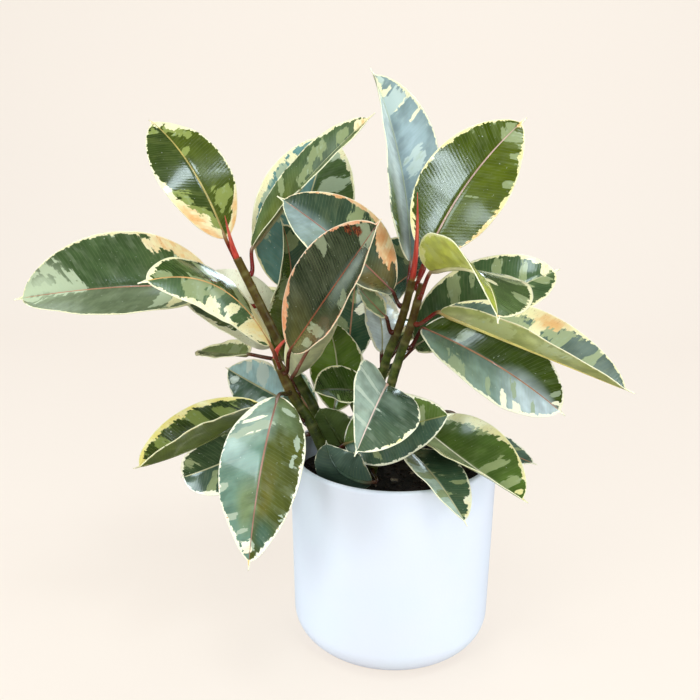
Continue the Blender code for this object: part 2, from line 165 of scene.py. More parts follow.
def leaf(name, stem, height, base, tip, width, face, droop=8, sway=0, twist=0, folds=(12, 12), cup=10):
    """The form of one leaf, in millimetres and degrees, the same as its solid's."""
    LEAVES[name] = {
        "stem": stem, "height": height * MM, "base": np.array(base) * MM, "tip": np.array(tip) * MM,
        "width": width * MM, "face": face, "droop": droop * MM, "sway": sway * MM,
        "twist": math.radians(twist), "folds": np.radians(folds), "cup": math.radians(cup),
    }


# Leaves on the left
leaf("left_top", "left_tall", 312, (-137, 16, 335), (-209, 70, 425), 60, (19, 36), droop=18, sway=2,
     twist=-9, folds=(0, -6), cup=0)
leaf("left_long", "left_tall", 282, (-149, 20, 295), (-303, -11, 288), 88, (0, 37), droop=14, sway=-2,
     twist=4, folds=(27, 24), cup=20)
leaf("left_front", "left_short", 235, (-97, -20, 257), (-181, -78, 317), 63, (-5, 73), droop=19, sway=17,
     twist=-8, folds=(-22, 6), cup=-4)
leaf("left_behind", "left_tall", 212, (-104, 52, 241), (-188, 49, 283), 63, (-4, 42), droop=27, twist=17,
     folds=(21, 15), cup=14)
leaf("left_far", "left_tall", 236, (-124, 29, 235), (-181, 85, 221), 40, (11, 64), droop=0, sway=-1,
     twist=2, folds=(14, 4), cup=8)
leaf("left_inner", "left_short", 186, (-94, 19, 199), (-137, -3, 233), 43, (-18, 38), droop=-2, twist=-6,
     folds=(-3, 8), cup=3)
leaf("left_folded", "left_short", 192, (-105, -17, 205), (-192, -83, 178), 65, (-9, 50), droop=-18, sway=6,
     twist=10, folds=(74, 12), cup=12)
leaf("left_lower", "left_short", 180, (-102, 10, 166), (-180, 2, 132), 52, (8, 20), droop=26, sway=-1,
     twist=1, folds=(15, 20), cup=14)
leaf("left_hanging", "left_short", 214, (-90, -35, 220), (-104, -106, 110), 67, (-14, 20), droop=17,
     sway=-3, twist=27, folds=(5, -2), cup=3)

# Leaves in the middle
leaf("mid_dark", "left_short", 229, (-81, -24, 255), (-11, -77, 364), 71, (-17, 35), droop=-6, sway=-5,
     twist=-5, folds=(10, 21), cup=13)
leaf("mid_broad", "right_back", 284, (-3, 6, 296), (-92, -4, 371), 69, (26, 33), droop=5, sway=1, twist=-25,
     folds=(18, 16), cup=13)
leaf("mid_narrow", "left_tall", 305, (-116, 19, 327), (-19, 27, 432), 63, (-2, 52), droop=-4, sway=-9,
     twist=19, folds=(-8, 49), cup=-5)
leaf("mid_large", "back", 245, (-97, 65, 285), (-60, 108, 415), 87, (3, 23), droop=18, sway=1,
     folds=(14, 13), cup=11)
leaf("mid_upright", "left_tall", 220, (-99, 42, 228), (-93, 19, 351), 58, (27, 15), droop=-8, sway=13,
     twist=60, folds=(29, 12), cup=16)
leaf("mid_turned", "left_short", 207, (-84, 6, 223), (-47, 19, 285), 39, (198, -1), droop=2, twist=-14,
     folds=(25, 12), cup=15)
leaf("mid_bright", "left_tall", 174, (-51, 20, 189), (-59, 37, 266), 48, (1, 25), droop=-8, sway=6,
     twist=-2, folds=(11, 9), cup=8)
leaf("mid_low", "right_back", 200, (-19, 20, 206), (-65, -15, 218), 40, (0, 45), droop=-6, sway=7, twist=-5,
     folds=(17, 15), cup=13)
leaf("mid_blue", "left_tall", 158, (-71, 40, 177), (-98, 60, 215), 32, (-12, 26), droop=7, sway=1, twist=2,
     folds=(13, 19), cup=13)
leaf("mid_mottled", "back", 205, (-41, 53, 222), (-35, 75, 298), 41, (0, 25), droop=6)
leaf("inner_pale", "right_back", 232, (-11, 19, 242), (-25, 38, 296), 32, (24, 10), droop=6, sway=3,
     twist=-5, folds=(14, 12), cup=11)
leaf("inner_slim", "right_back", 262, (-8, 0, 277), (-31, 5, 301), 22, (48, 46), droop=1, sway=-2, twist=3,
     folds=(6, 12), cup=8)
leaf("inner_dark", "right_back", 296, (22, 23, 312), (-46, 90, 241), 77, (2, 38), droop=-15, sway=15,
     twist=-2, folds=(24, 10), cup=13)

# Leaves on the right
leaf("right_top", "right_back", 301, (11, 13, 319), (-25, 76, 467), 69, (22, 11), droop=13, sway=3,
     twist=30, folds=(39, 36), cup=28)
leaf("right_glossy", "right_front", 300, (23, -5, 327), (97, 26, 429), 69, (-3, 31), droop=7, sway=-6,
     twist=-2, folds=(9, 4), cup=6)
leaf("right_twisted", "right_front", 296, (26, -28, 319), (60, -165, 315), 77, (41, 39), droop=18, sway=-3,
     twist=-22, folds=(9, 12), cup=7)
leaf("right_broad", "right_front", 243, (17, 25, 246), (134, 43, 309), 71, (0, 35), droop=25, sway=3,
     twist=17, folds=(18, 28), cup=17)
leaf("right_folded", "right_front", 275, (34, -20, 286), (169, -79, 244), 62, (0, 50), droop=3, sway=2,
     twist=20, folds=(16, 72), cup=11)
leaf("right_drooping", "right_front", 255, (22, -8, 270), (131, -35, 210), 67, (-1, 39), droop=20, sway=2,
     twist=47, folds=(23, 14), cup=15)

# Leaves low over the rim
leaf("low_centre", "right_front", 219, (-6, -30, 230), (-26, -121, 209), 67, (23, 39), droop=8, sway=2,
     twist=-15, folds=(8, 37), cup=5)
leaf("low_wide", "left_short", 160, (-39, -13, 173), (44, -63, 220), 56, (2, 35), droop=1, sway=-1, twist=5,
     folds=(12, 6), cup=8)
leaf("low_hanging", "right_front", 172, (13, -17, 170), (53, -113, 155), 46, (26, 31), droop=6, sway=1,
     twist=-9, folds=(11, 19), cup=12)
leaf("low_right", "right_front", 184, (20, -8, 190), (97, -94, 165), 70, (2, 47), droop=-7, sway=-1,
     twist=-25, folds=(10, 52))
leaf("low_far_right", "right_back", 172, (51, 10, 192), (114, -26, 165), 44, (15, 71), droop=-7, sway=-2,
     twist=7, folds=(-14, 10), cup=0)
leaf("low_rim", "right_front", 150, (-16, -50, 157), (-51, -53, 192), 42, (180, 18), droop=-3, sway=10,
     folds=(6, 6), cup=14)
leaf("low_inner", "left_short", 158, (-42, 7, 164), (-62, 7, 197), 34, (185, 15), droop=0, folds=(3, 0),
     cup=3)

# Leaves at the back of the crown
leaf("back_right", "right_back", 241, (16, 38, 260), (87, 101, 255), 48, (159, 80), droop=6, folds=(14, 16),
     cup=13)
leaf("back_right_low", "right_back", 162, (-9, 31, 180), (22, 126, 137), 56, (130, 59), droop=17, twist=-9,
     folds=(16, 10), cup=7)
leaf("back_high", "back", 242, (-67, 88, 278), (-97, 153, 375), 66, (205, 59), droop=18, sway=2, twist=-3,
     folds=(15, 18), cup=13)
leaf("back_top", "back", 232, (-43, 113, 247), (22, 174, 292), 53, (158, 75), droop=6, twist=-4,
     folds=(19, 8), cup=9)
leaf("back_left", "back", 210, (-80, 87, 233), (-164, 135, 259), 51, (248, 74), droop=14, sway=3, twist=2,
     folds=(12, 16), cup=9)
leaf("back_right_middle", "right_back", 221, (-2, 38, 239), (24, 139, 235), 60, (182, 81), droop=12,
     twist=-5, folds=(11, 10), cup=13)
leaf("back_low", "right_back", 193, (-13, 42, 209), (-31, 137, 176), 58, (175, 57), droop=10, sway=-3,
     twist=9, folds=(15, 19), cup=11)
leaf("back_middle", "back", 222, (-39, 88, 230), (49, 111, 215), 47, (133, 79), droop=12, sway=-3, twist=3,
     folds=(13, 17), cup=14)
leaf("back_rim", "back", 190, (-65, 88, 203), (-129, 154, 226), 55, (244, 64), droop=10, sway=1, twist=-12,
     folds=(15, 12), cup=14)

# Colours, each channel from 0 to 255
DARK = (50, 70, 22)
DEEP = (40, 60, 34)
TEAL = (54, 82, 62)
OLIVE = (78, 94, 22)
GREY = (76, 94, 62)
BRIGHT = (104, 134, 40)
SAGE = (136, 148, 102)
MINT = (172, 190, 164)
CREAM = (246, 238, 188)
IVORY = (250, 248, 222)
YELLOW = (242, 226, 134)
PEACH = (236, 178, 112)
SALMON = (190, 134, 106)
ROSE = (168, 100, 92)
PALE_RIB = (206, 202, 158)
MAROON = (80, 22, 16)
CRIMSON = (124, 18, 20)
UNDER = (150, 158, 84)
UNDER_SHARE = 0.6
BODY_LIFT = 0.3

PAINT = {}


def paint(name, green=DARK, right=None, sage=SAGE, cream=CREAM, blush=PEACH, rib=(SALMON, PEACH),
          petiole=MAROON, below=UNDER, margin=0.9, fringe=-0.6, margins=(), patches=()):
    """The markings of one leaf.

    green is the body's colour, or that of the left half where right gives the other one's. below tints the
    underside. rib is one colour, or those at the midrib's base and tip. margin is the least width of the
    cream edge and fringe that of the sage beside it, in millimetres. margins widen the edge: side, place
    along the leaf and reach along it in hundredths, width in millimetres.
    patches are a kind with its places: s, v, and half lengths along and across, in hundredths. They apply
    in the order given, and a colour as kind tints the body softly. On some leaves the body colours and
    tints hold painted light besides the leaf's own colour: window reflection, sheen, and lightening where the
    leaf lies in shade.
    """
    edges = [(side, place / 100, reach / 100, width) for side, place, reach, width in margins]
    spots = [(kind, *(part / 100 for part in place)) for kind, *places in patches for place in places]
    ribs = rib if isinstance(rib[0], tuple) else (rib, rib)
    PAINT[name] = {
        "green": (green, right or green), "sage": sage, "cream": cream, "blush": blush, "rib": ribs,
        "petiole": petiole, "below": below, "margin": margin, "fringe": fringe, "margins": edges,
        "patches": spots,
    }


paint("left_top", (52, 66, 20), (68, 80, 16), sage=(134, 146, 74), rib=((190, 172, 96), (214, 206, 150)),
      petiole=CRIMSON, margin=1.1,
      margins=[(-1, 12, 18, 11), (-1, 38, 10, 4), (1, 8, 12, 5), (1, 87, 12, 4), (-1, 97, 6, 3)],
      patches=[("sage", (84, 40, 8, 35), (72, 65, 4, 20), (24, 50, 6, 30), (30, -62, 5, 20),
                (16, -40, 5, 25), (88, -50, 4, 30), (60, 15, 2, 15)), ("cream", (93, 30, 6, 50),
                (85, 65, 6, 30)), ("blush", (10, -80, 22, 50), (10, 90, 12, 30), (99, 0, 8, 100))])
# The grey-green left half is partly the leaf's own colour and partly a painted grey sheen.
paint("left_long", (108, 120, 90), (66, 88, 50), sage=(184, 198, 162), rib=SALMON, petiole=CRIMSON,
      margin=1.0, margins=[(1, 14, 14, 6), (1, 50, 20, 0.8), (-1, 14, 10, 2.5)],
      patches=[("sage", (88, 50, 15, 60), (74, 15, 10, 30), (25, -45, 4, 40)), ("cream", (20, 82, 12, 20),
                (20, -60, 3, 25)), ("dark", (20, 50, 5, 25)), ("blush", (12, 85, 22, 40)),
               ("sage", (13, 40, 6, 30)), ("dark", (86, 62, 3, 20), (80, 40, 2, 15)),
               ((170, 184, 152), (88, 40, 22, 80)), ("sage", (90, -40, 8, 30))])
paint("left_front", (76, 100, 62), (54, 76, 30), rib=(PEACH, YELLOW), petiole=(124, 54, 38), margin=1.5,
      blush=(246, 214, 130), margins=[(-1, 50, 28, 5), (1, 30, 20, 3), (1, 90, 10, 4), (1, 8, 10, 6)],
      patches=[("sage", (30, 40, 6, 50), (66, -30, 10, 40), (84, 30, 5, 35), (50, -25, 5, 30),
                (55, 60, 4, 30)), ("cream", (8, 0, 10, 100), (36, -50, 5, 35), (55, -75, 6, 30)),
               ("blush", (6, 0, 16, 100))])
paint("left_behind", GREY, cream=IVORY, margin=2.0, margins=[(-1, 30, 20, 9), (1, 50, 40, 12)],
      patches=[("cream", (35, 40, 25, 60)), ("sage", (60, -30, 20, 30)), ("dark", (55, -60, 20, 20))])
paint("left_far", (120, 134, 78), rib=((150, 156, 104), PALE_RIB), margin=2.4,
      margins=[(-1, 50, 50, 2), (1, 50, 40, 3)], patches=[("sage", (30, 20, 10, 40))])
# The pale bluish right half is partly the leaf's own colour and partly a painted window reflection.
paint("left_inner", (70, 96, 76), (176, 216, 218), sage=(206, 222, 212), cream=IVORY, rib=PALE_RIB,
      margin=1.0, margins=[(1, 60, 20, 1.5)],
      patches=[("sage", (70, 70, 6, 40), (45, 50, 8, 40), (30, -60, 4, 30), (80, -40, 5, 30))])
paint("left_folded", OLIVE, (40, 56, 8), margin=1.2, blush=YELLOW, rib=((104, 112, 56), (124, 132, 72)),
      below=(78, 88, 22), cream=YELLOW, sage=(116, 130, 62),
      margins=[(1, 75, 20, 3.5), (1, 30, 20, 3), (1, 50, 6, 2)],
      patches=[("sage", (40, 60, 5, 40), (72, 50, 6, 40), (20, 40, 6, 30)), ("cream", (92, 30, 4, 40)),
               ("blush", (90, 50, 15, 60))])
paint("left_lower", (64, 84, 66), (52, 72, 42), cream=IVORY, margin=1.0, rib=PALE_RIB,
      margins=[(1, 50, 15, 2), (-1, 60, 15, 3), (1, 85, 10, 2)],
      patches=[("sage", (62, -60, 5, 40), (75, 60, 5, 30)), ("cream", (50, -70, 3, 25))])
# The blue-teal right half and the pale bluish tint near its base are partly painted window reflection.
paint("left_hanging", (74, 80, 30), (100, 132, 114), rib=((176, 128, 112), (156, 116, 90)), cream=IVORY,
      margin=0.8, petiole=(60, 30, 24), sage=(162, 176, 152), blush=(240, 196, 110),
      margins=[(1, 12, 10, 4), (-1, 40, 12, 1.5), (1, 85, 12, 2.5), (-1, 88, 10, 3)],
      patches=[((104, 122, 84), (12, -40, 12, 70)), ((96, 94, 40), (60, -20, 25, 30)),
               ((58, 84, 66), (80, -50, 12, 60)), ((150, 176, 162), (20, 50, 16, 80)),
               ((110, 128, 88), (66, 25, 20, 40)), ("sage", (30, -78, 6, 8), (40, -72, 3, 6),
                (22, 40, 3, 50), (58, 90, 2, 12), (74, 75, 3, 20), (80, 40, 1.2, 25), (70, -85, 1.5, 15),
                (86, -10, 2, 25), (10, -60, 1.6, 25)), ("cream", (17, 65, 1.2, 35), (24, 40, 0.6, 25),
                (88, 25, 4, 40)), ("blush", (10, -35, 6, 40), (96, 20, 10, 80))])
paint("mid_dark", (40, 48, 30), rib=((150, 74, 50), (158, 116, 116)), blush=(226, 140, 96),
      cream=(236, 196, 158), margin=0.8, sage=(128, 136, 106),
      margins=[(-1, 14, 13, 4.5), (1, 50, 12, 1), (1, 85, 10, 2), (-1, 82, 10, 2)],
      patches=[((80, 78, 38), (8, 0, 20, 100)), ((112, 124, 114), (62, 30, 25, 40)),
               ("sage", (86, -35, 5, 60), (88, 40, 5, 50), (60, -85, 4, 25), (24, 45, 3.5, 35),
                (14, 60, 3, 30), (55, 70, 5, 30)), ("blush", (14, -85, 30, 60), (75, -95, 40, 30),
                (50, 95, 60, 20), (95, 0, 10, 100)), ("scar", (83, -50, 5.5, 30), (79, -75, 3, 25))])
# The bluish grey left half and the pale bluish tint near its tip are partly painted sheen.
paint("mid_broad", (118, 142, 134), (50, 68, 50), rib=(ROSE, PALE_RIB), blush=(222, 150, 92),
      margins=[(1, 25, 16, 6), (1, 75, 12, 1.5), (1, 55, 6, 2)],
      patches=[((92, 84, 42), (16, -40, 20, 90), (12, 40, 12, 60)), ((140, 160, 158), (80, -50, 30, 80)),
               ("blush", (20, 60, 35, 90), (70, 95, 50, 20)), ("sage", (50, 55, 5, 50), (36, 30, 5, 50)),
               ("cream", (24, 75, 8, 30))])
paint("mid_narrow", (74, 94, 58), OLIVE, rib=(PALE_RIB, CREAM), margin=1.0, petiole=CRIMSON,
      margins=[(-1, 75, 12, 2), (1, 80, 20, 1)],
      patches=[((92, 104, 44), (20, 0, 30, 100)), ((96, 112, 88), (65, 0, 25, 80)),
               ("sage", (50, -25, 6, 20), (62, -50, 7, 25), (78, -30, 5, 30), (36, -70, 3, 30)),
               ("blush", (95, 0, 12, 100)), ("cream", (92, -30, 6, 50))])
paint("mid_large", (98, 142, 138), (72, 94, 50), sage=(168, 184, 152), rib=(PALE_RIB, CREAM), margin=1.6,
      margins=[(-1, 50, 25, 4), (1, 85, 12, 4)],
      patches=[("sage", (45, -70, 6, 35), (62, -60, 5, 35), (85, 30, 6, 50), (66, 50, 5, 40),
                (30, -80, 4, 25)), ("cream", (72, -60, 4, 30))])
paint("mid_upright", OLIVE, TEAL, margin=1.4, blush=YELLOW, margins=[(-1, 50, 30, 3), (1, 30, 20, 3)],
      patches=[("sage", (50, -30, 10, 40), (80, 0, 6, 60)), ("cream", (30, 50, 6, 30))])
paint("mid_turned", (196, 202, 150), rib=((150, 92, 72), (190, 140, 116)), below=(228, 230, 178),
      margin=2.0, margins=[(1, 50, 40, 3)], patches=[("sage", (50, 30, 30, 30))])
paint("mid_bright", BRIGHT, (84, 110, 26), rib=PALE_RIB, below=(140, 166, 62), margins=[(1, 50, 20, 1)])
paint("mid_low", DARK, margin=1.2, blush=YELLOW, rib=((84, 80, 34), (108, 112, 52)),
      patches=[("blush", (95, 0, 10, 100)), ("sage", (60, -60, 4, 30))])
paint("mid_blue", (104, 134, 120), margin=1.0, cream=IVORY, patches=[("sage", (50, 40, 10, 50))])
paint("mid_mottled", TEAL, margin=1.0, cream=IVORY,
      patches=[("sage", (40, -50, 8, 40), (75, 30, 8, 40)), ("cream", (60, 50, 6, 30))])
# Near-white body: a pale leaf, painted lighter still to stand in for light, as it lies in shade.
paint("inner_pale", (244, 255, 255), sage=(250, 255, 250), margin=2.0, cream=IVORY, rib=PALE_RIB,
      margins=[(1, 50, 40, 3)])
paint("inner_slim", (154, 176, 124), margin=1.6, below=(186, 204, 156), sage=(196, 208, 170),
      margins=[(1, 50, 40, 1)])
paint("inner_dark", (60, 88, 70), margin=1.2, petiole=CRIMSON, margins=[(-1, 40, 20, 3)],
      patches=[("sage", (50, -50, 8, 40), (25, 50, 5, 30))])
# Pale bluish-white colours: partly the leaf's own pale tone, partly a painted bluish sheen that stands in for
# a window reflection.
paint("right_top", (232, 244, 240), (138, 162, 168), sage=(192, 210, 206), cream=(248, 244, 204),
      rib=(MINT, IVORY), petiole=CRIMSON, margins=[(-1, 20, 18, 3), (1, 75, 8, 2), (-1, 85, 12, 1.5)],
      patches=[((92, 104, 36), (24, -75, 26, 50)), ((104, 134, 130), (14, 50, 16, 80)),
               ((156, 180, 190), (50, 30, 20, 60)), ("sage", (78, 30, 6, 50), (45, 40, 5, 30),
                (90, 10, 4, 60), (30, 50, 6, 30)), ("cream", (84, 30, 1.2, 40), (90, -30, 5, 50),
                (66, 70, 1, 25), (74, 50, 0.8, 30)), ("dark", (24, -55, 20, 40))])
paint("right_glossy", (60, 74, 4), (76, 88, 8), cream=(244, 232, 160),
      rib=((206, 172, 160), (176, 140, 112)), margin=1.2, petiole=CRIMSON, blush=(238, 176, 98),
      margins=[(1, 30, 12, 3), (1, 50, 5, 2), (-1, 62, 16, 1.2), (-1, 15, 10, 2.5), (1, 78, 5, 2.5)],
      patches=[("sage", (86, 25, 3.5, 50), (90, -30, 3, 30), (78, 80, 3, 20), (42, 25, 1, 25),
                (60, 85, 3, 15)), ("cream", (95, 30, 3, 40)), ("blush", (96, 0, 10, 100),
                (25, 95, 20, 15))])
# The bright yellow underside and right half are partly the leaf's own colour and partly a painted glow of
# light through the leaf, where it lies in shade.
paint("right_twisted", (72, 92, 46), (186, 196, 70), rib=CREAM, below=(222, 228, 92), margin=1.2,
      petiole=CRIMSON, margins=[(-1, 40, 20, 4), (1, 50, 30, 1.5), (-1, 75, 10, 1)],
      patches=[("sage", (20, 60, 3, 40), (42, -40, 8, 60), (70, -75, 5, 20)), ("cream", (10, 90, 6, 15),
                (36, -50, 5, 50), (62, -10, 3, 12)), ("blush", (97, 0, 8, 100))])
paint("right_broad", (64, 88, 50), rib=PALE_RIB, margin=1.4, sage=(140, 152, 104),
      margins=[(-1, 85, 10, 3), (1, 50, 30, 2), (-1, 40, 15, 1)],
      patches=[("sage", (36, -60, 3.5, 60), (60, -40, 3, 60), (76, -30, 2.5, 60), (85, 30, 4, 40),
                (50, -80, 2, 30)), ("cream", (90, -50, 3, 50))])
paint("right_folded", (86, 108, 100), (168, 174, 94), sage=(162, 174, 132), rib=(YELLOW, PALE_RIB),
      margin=1.0, below=(174, 180, 100), petiole=CRIMSON,
      margins=[(-1, 50, 12, 9), (-1, 25, 12, 4), (-1, 36, 4, 4)],
      patches=[((122, 132, 50), (70, 80, 30, 40)), ((240, 240, 190), (20, 25, 20, 50)),
               ((50, 60, 16), (40, 50, 6, 30)), ((60, 66, 16), (24, 60, 4, 30)),
               ((220, 226, 150), (50, 70, 5, 20)), ((108, 124, 116), (75, -50, 25, 80)),
               ("sage", (60, -50, 4, 50), (30, 40, 10, 50), (60, 50, 6, 40), (30, -30, 6, 40),
                (76, -50, 3, 40), (42, -30, 5, 30)), ("blush", (52, -80, 12, 30), (50, 90, 50, 12)),
               ("cream", (47, -60, 4, 30))])
# The right half's bluish colour is partly painted reflection, and the bluish-white tint near its tip is a
# painted reflection.
paint("right_drooping", (58, 76, 14), (124, 150, 140), rib=SALMON, cream=IVORY, sage=(146, 162, 130),
      margins=[(1, 45, 30, 1.5), (-1, 95, 5, 3), (1, 85, 10, 2)],
      patches=[((192, 210, 216), (80, 50, 30, 90)), ((100, 124, 106), (20, 30, 20, 60)),
               ("sage", (26, -45, 3, 40), (50, 60, 2, 25), (64, 35, 2, 25), (46, -15, 1, 12),
                (80, 70, 1.5, 30), (30, 70, 5, 30), (86, -60, 2, 30)), ("cream", (62, 80, 2.5, 30),
                (70, 85, 3, 20), (90, -30, 1.5, 30))])
# The pale bluish right half is partly the leaf's own colour and partly painted sheen.
paint("low_centre", (62, 82, 68), (158, 180, 166), sage=(190, 206, 190),
      rib=((240, 214, 206), (236, 230, 210)), margin=1.0, cream=IVORY, petiole=SALMON, blush=YELLOW,
      margins=[(-1, 80, 15, 1.5), (-1, 62, 6, 1.5)],
      patches=[((110, 130, 116), (30, -30, 15, 40)), ("sage", (35, 50, 3, 60), (55, 50, 2, 50),
                (75, 40, 2, 50)), ("blush", (72, -90, 15, 20))])
paint("low_wide", (82, 104, 44), (60, 84, 66), margin=1.0, cream=IVORY,
      rib=((150, 152, 90), (170, 172, 110)), margins=[(1, 50, 30, 0.8), (-1, 70, 20, 1)],
      patches=[("sage", (55, -50, 4, 50), (75, -30, 3, 40), (30, 50, 4, 30))])
# The very pale right half is partly the leaf's own sage and partly painted light: sheen, and lightening where
# it lies in shade.
paint("low_hanging", (56, 82, 62), (196, 220, 204), rib=PALE_RIB, cream=IVORY, blush=YELLOW,
      margins=[(1, 30, 20, 2), (-1, 85, 10, 2.5), (1, 85, 10, 1)],
      patches=[("sage", (30, 50, 6, 50), (50, 40, 5, 50), (70, 40, 5, 50), (60, -60, 3, 30)),
               ("blush", (86, -60, 10, 50)), ("cream", (80, -80, 4, 25))])
paint("low_right", (76, 102, 38), (168, 182, 132), sage=(150, 164, 110), cream=(246, 236, 170), margin=1.2,
      blush=YELLOW, rib=(IVORY, PALE_RIB), margins=[(-1, 25, 20, 7), (-1, 50, 10, 3), (-1, 80, 6, 2)],
      patches=[("sage", (62, -30, 4, 40), (80, -30, 4, 40)), ("blush", (93, 0, 8, 100)),
               ("cream", (90, -40, 3, 30), (50, 90, 40, 10))])
paint("low_far_right", (76, 98, 84), margin=1.2, cream=IVORY, patches=[("sage", (60, 0, 8, 60))])
paint("low_rim", (56, 78, 66), margin=0.5, below=(66, 88, 74), rib=((60, 80, 66), (70, 92, 78)))
paint("low_inner", (56, 74, 26), margin=0.6, below=(92, 108, 48), rib=((84, 96, 44), (92, 106, 50)))


def seeded_paint(name, seed):
    """Markings for a leaf that the front view hides, from a fixed seed."""
    random = np.random.RandomState(seed)
    greens = (DARK, TEAL, DEEP, OLIVE)
    margins = [(side, random.uniform(10, 90), random.uniform(10, 30), random.uniform(2, 8))
               for side in (-1, 1, -1, 1)]
    sages = [(random.uniform(20, 90), random.uniform(-80, 80), random.uniform(6, 20), random.uniform(20, 40))
             for _ in range(5)]
    cream = (random.uniform(30, 90), random.uniform(-80, 80), 7, 25)
    paint(name, greens[seed % len(greens)], margin=1.5, margins=margins,
          patches=[("sage", *sages), ("cream", cream), ("blush", (95, 0, 10, 100))])


for number, hidden in enumerate(LEAVES):
    if hidden not in PAINT:
        seeded_paint(hidden, number)


def linear(colour):
    """A colour of 0 to 255 as linear red, green and blue."""
    c = np.array(colour, dtype=float) / 255.0
    return np.where(c <= 0.04045, c / 12.92, ((c + 0.055) / 1.055) ** 2.4)


def unit(a):
    return a / np.linalg.norm(a, axis=-1, keepdims=True)


def direction(turn, rise):
    """Unit vector at a turn from the front and a rise above level, in degrees."""
    a = math.radians(turn)
    e = math.radians(rise)
    return np.array((math.sin(a) * math.cos(e), -math.cos(a) * math.cos(e), math.sin(e)))


def bell(distance):
    return np.exp(-distance ** 2)


def stacked(shape, *parts):
    """A vector field for a material, from parts that may be constant along rows or columns."""
    return np.stack([np.broadcast_to(part, shape) for part in parts], axis=-1)


# Mesh pieces

# Parts of a bake layout: left, bottom, right, top
SHEET = (0.01, 0.01, 0.99, 0.99)
BLADE_SHEET = (0.01, 0.01, 0.84, 0.99)
STALK_SHEET = (0.86, 0.01, 0.99, 0.99)
# The share of its height that a skin takes, and where its lids start
SKIN_SHARE = (0.02, 0.9)
LIDS_START = 0.92


def loft(rings, uv_box, fields):
    """A closed skin over rows of rings, with its bake layout and its fields for the materials."""
    rings = np.asarray(rings)
    rows, count = rings.shape[:2]
    index = np.arange(rows * count).reshape(rows, count)
    beside = np.roll(index, -1, axis=1)
    quads = np.stack((index[:-1], beside[:-1], beside[1:], index[1:]), axis=-1).reshape(-1, 4)
    u0, v0, u1, v1 = uv_box
    u = u0 + (u1 - u0) * np.arange(count + 1) / count
    v = v0 + (v1 - v0) * np.linspace(*SKIN_SHARE, rows)
    k = np.tile(np.arange(count), rows - 1)
    r = np.repeat(np.arange(rows - 1), count)
    corners = (u[k], v[r], u[k + 1], v[r], u[k + 1], v[r + 1], u[k], v[r + 1])
    uvs = np.stack(corners, axis=-1).reshape(-1, 4, 2)
    lids = (u0, u1, v0 + (v1 - v0) * LIDS_START, v1)
    return {"points": rings.reshape(-1, 3), "quads": quads, "uvs": uvs, "first": index[0],
            "last": index[-1], "lids": lids, "fields": fields}


def lid_uvs(lids, count, share):
    """A small round layout for the lid of a skin."""
    u0, u1, v0, v1 = lids
    centre = (u0 + (u1 - u0) * share, (v0 + v1) / 2)
    size = min((v1 - v0) * 0.45, (u1 - u0) * 0.2)
    turn = 2 * np.pi * np.arange(count) / count
    return [(centre[0] + size * math.cos(t), centre[1] + size * math.sin(t)) for t in turn]


def add_mesh(name, parts, mat):
    """One piece from its skins: mesh, bake layout, fields and material."""
    points = np.concatenate([part["points"] for part in parts])
    faces = []
    uvs = []
    start = 0
    for part in parts:
        faces += (part["quads"] + start).tolist()
        uvs += part["uvs"].reshape(-1, 2).tolist()
        for lid, share in ((part["first"][::-1], 0.25), (part["last"], 0.75)):
            faces.append((lid + start).tolist())
            uvs += lid_uvs(part["lids"], len(lid), share)
        start += len(part["points"])
    mesh = bpy.data.meshes.new(name)
    mesh.from_pydata(points.tolist(), [], faces)
    layer = mesh.uv_layers.new(name="OFBake")
    layer.data.foreach_set("uv", np.array(uvs, dtype=np.float32).ravel())
    for field in parts[0]["fields"]:
        values = np.concatenate([part["fields"][field].reshape(-1, 3) for part in parts])
        attribute = mesh.attributes.new(field, "FLOAT_VECTOR", "POINT")
        attribute.data.foreach_set("vector", values.astype(np.float32).ravel())
    mesh.shade_smooth()
    mesh.materials.append(mat)
    obj = bpy.data.objects.new(name, mesh)
    bpy.context.scene.collection.objects.link(obj)
    return obj


def dress(node, parts, mat):
    """The finer piece that stands for a solid."""
    obj = add_mesh(node + "_dressed", parts, mat)
    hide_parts(node)
    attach(obj, "root")


def carried_frames(path, across):
    """Directions across a path and above it that turn with it from one row to the next."""
    tangents = unit(np.gradient(path, axis=0))
    sides = []
    for tangent in tangents:
        across = unit(across - tangent * np.dot(across, tangent))
        sides.append(across)
    sides = np.array(sides)
    return sides, np.cross(tangents, sides)


def round_rings(path, radii, sides, across=(1.0, 0.0, 0.0)):
    """Rings of a round tube along a path."""
    side, above = carried_frames(path, np.asarray(across, dtype=float))
    turn = -2 * np.pi * np.arange(sides) / sides
    ring = np.cos(turn)[None, :, None] * side[:, None, :] + np.sin(turn)[None, :, None] * above[:, None, :]
    return path[:, None, :] + radii[:, None, None] * ring


def stem_path(stem, count):
    """Points of a stem's centre line and its plain radius at each."""
    radius, points = STEMS[stem]
    pts = [np.array(p) * MM for p in points]
    rise = pts[1] - pts[0]
    pts.insert(0, pts[0] - rise * STEM_DEPTH / rise[2])
    ends = [pts[0] * 2 - pts[1]] + pts + [pts[-1] * 2 - pts[-2]]
    path = []
    for i in range(len(pts) - 1):
        a, b, c, d = ends[i:i + 4]
        for k in range(count):
            t = k / count
            path.append(0.5 * (2 * b + (c - a) * t + (2 * a - 5 * b + 4 * c - d) * t ** 2
                               + (3 * b - a - 3 * c + d) * t ** 3))
    path.append(pts[-1])
    share = np.arange(len(path)) / (len(path) - 1)
    return np.array(path), radius * MM * (1.0 - STEM_TAPER * share)


def stem_at(stem, height):
    """Centre, direction and radius of a stem where it reaches a height."""
    path, radii = stem_path(stem, STEM_FINE)
    for i in range(len(path) - 1):
        if path[i + 1][2] >= height:
            share = (height - path[i][2]) / (path[i + 1][2] - path[i][2])
            return path[i] + (path[i + 1] - path[i]) * share, unit(path[i + 1] - path[i]), radii[i]
    return path[-1], unit(path[-1] - path[-2]), radii[-1]


# Leaves

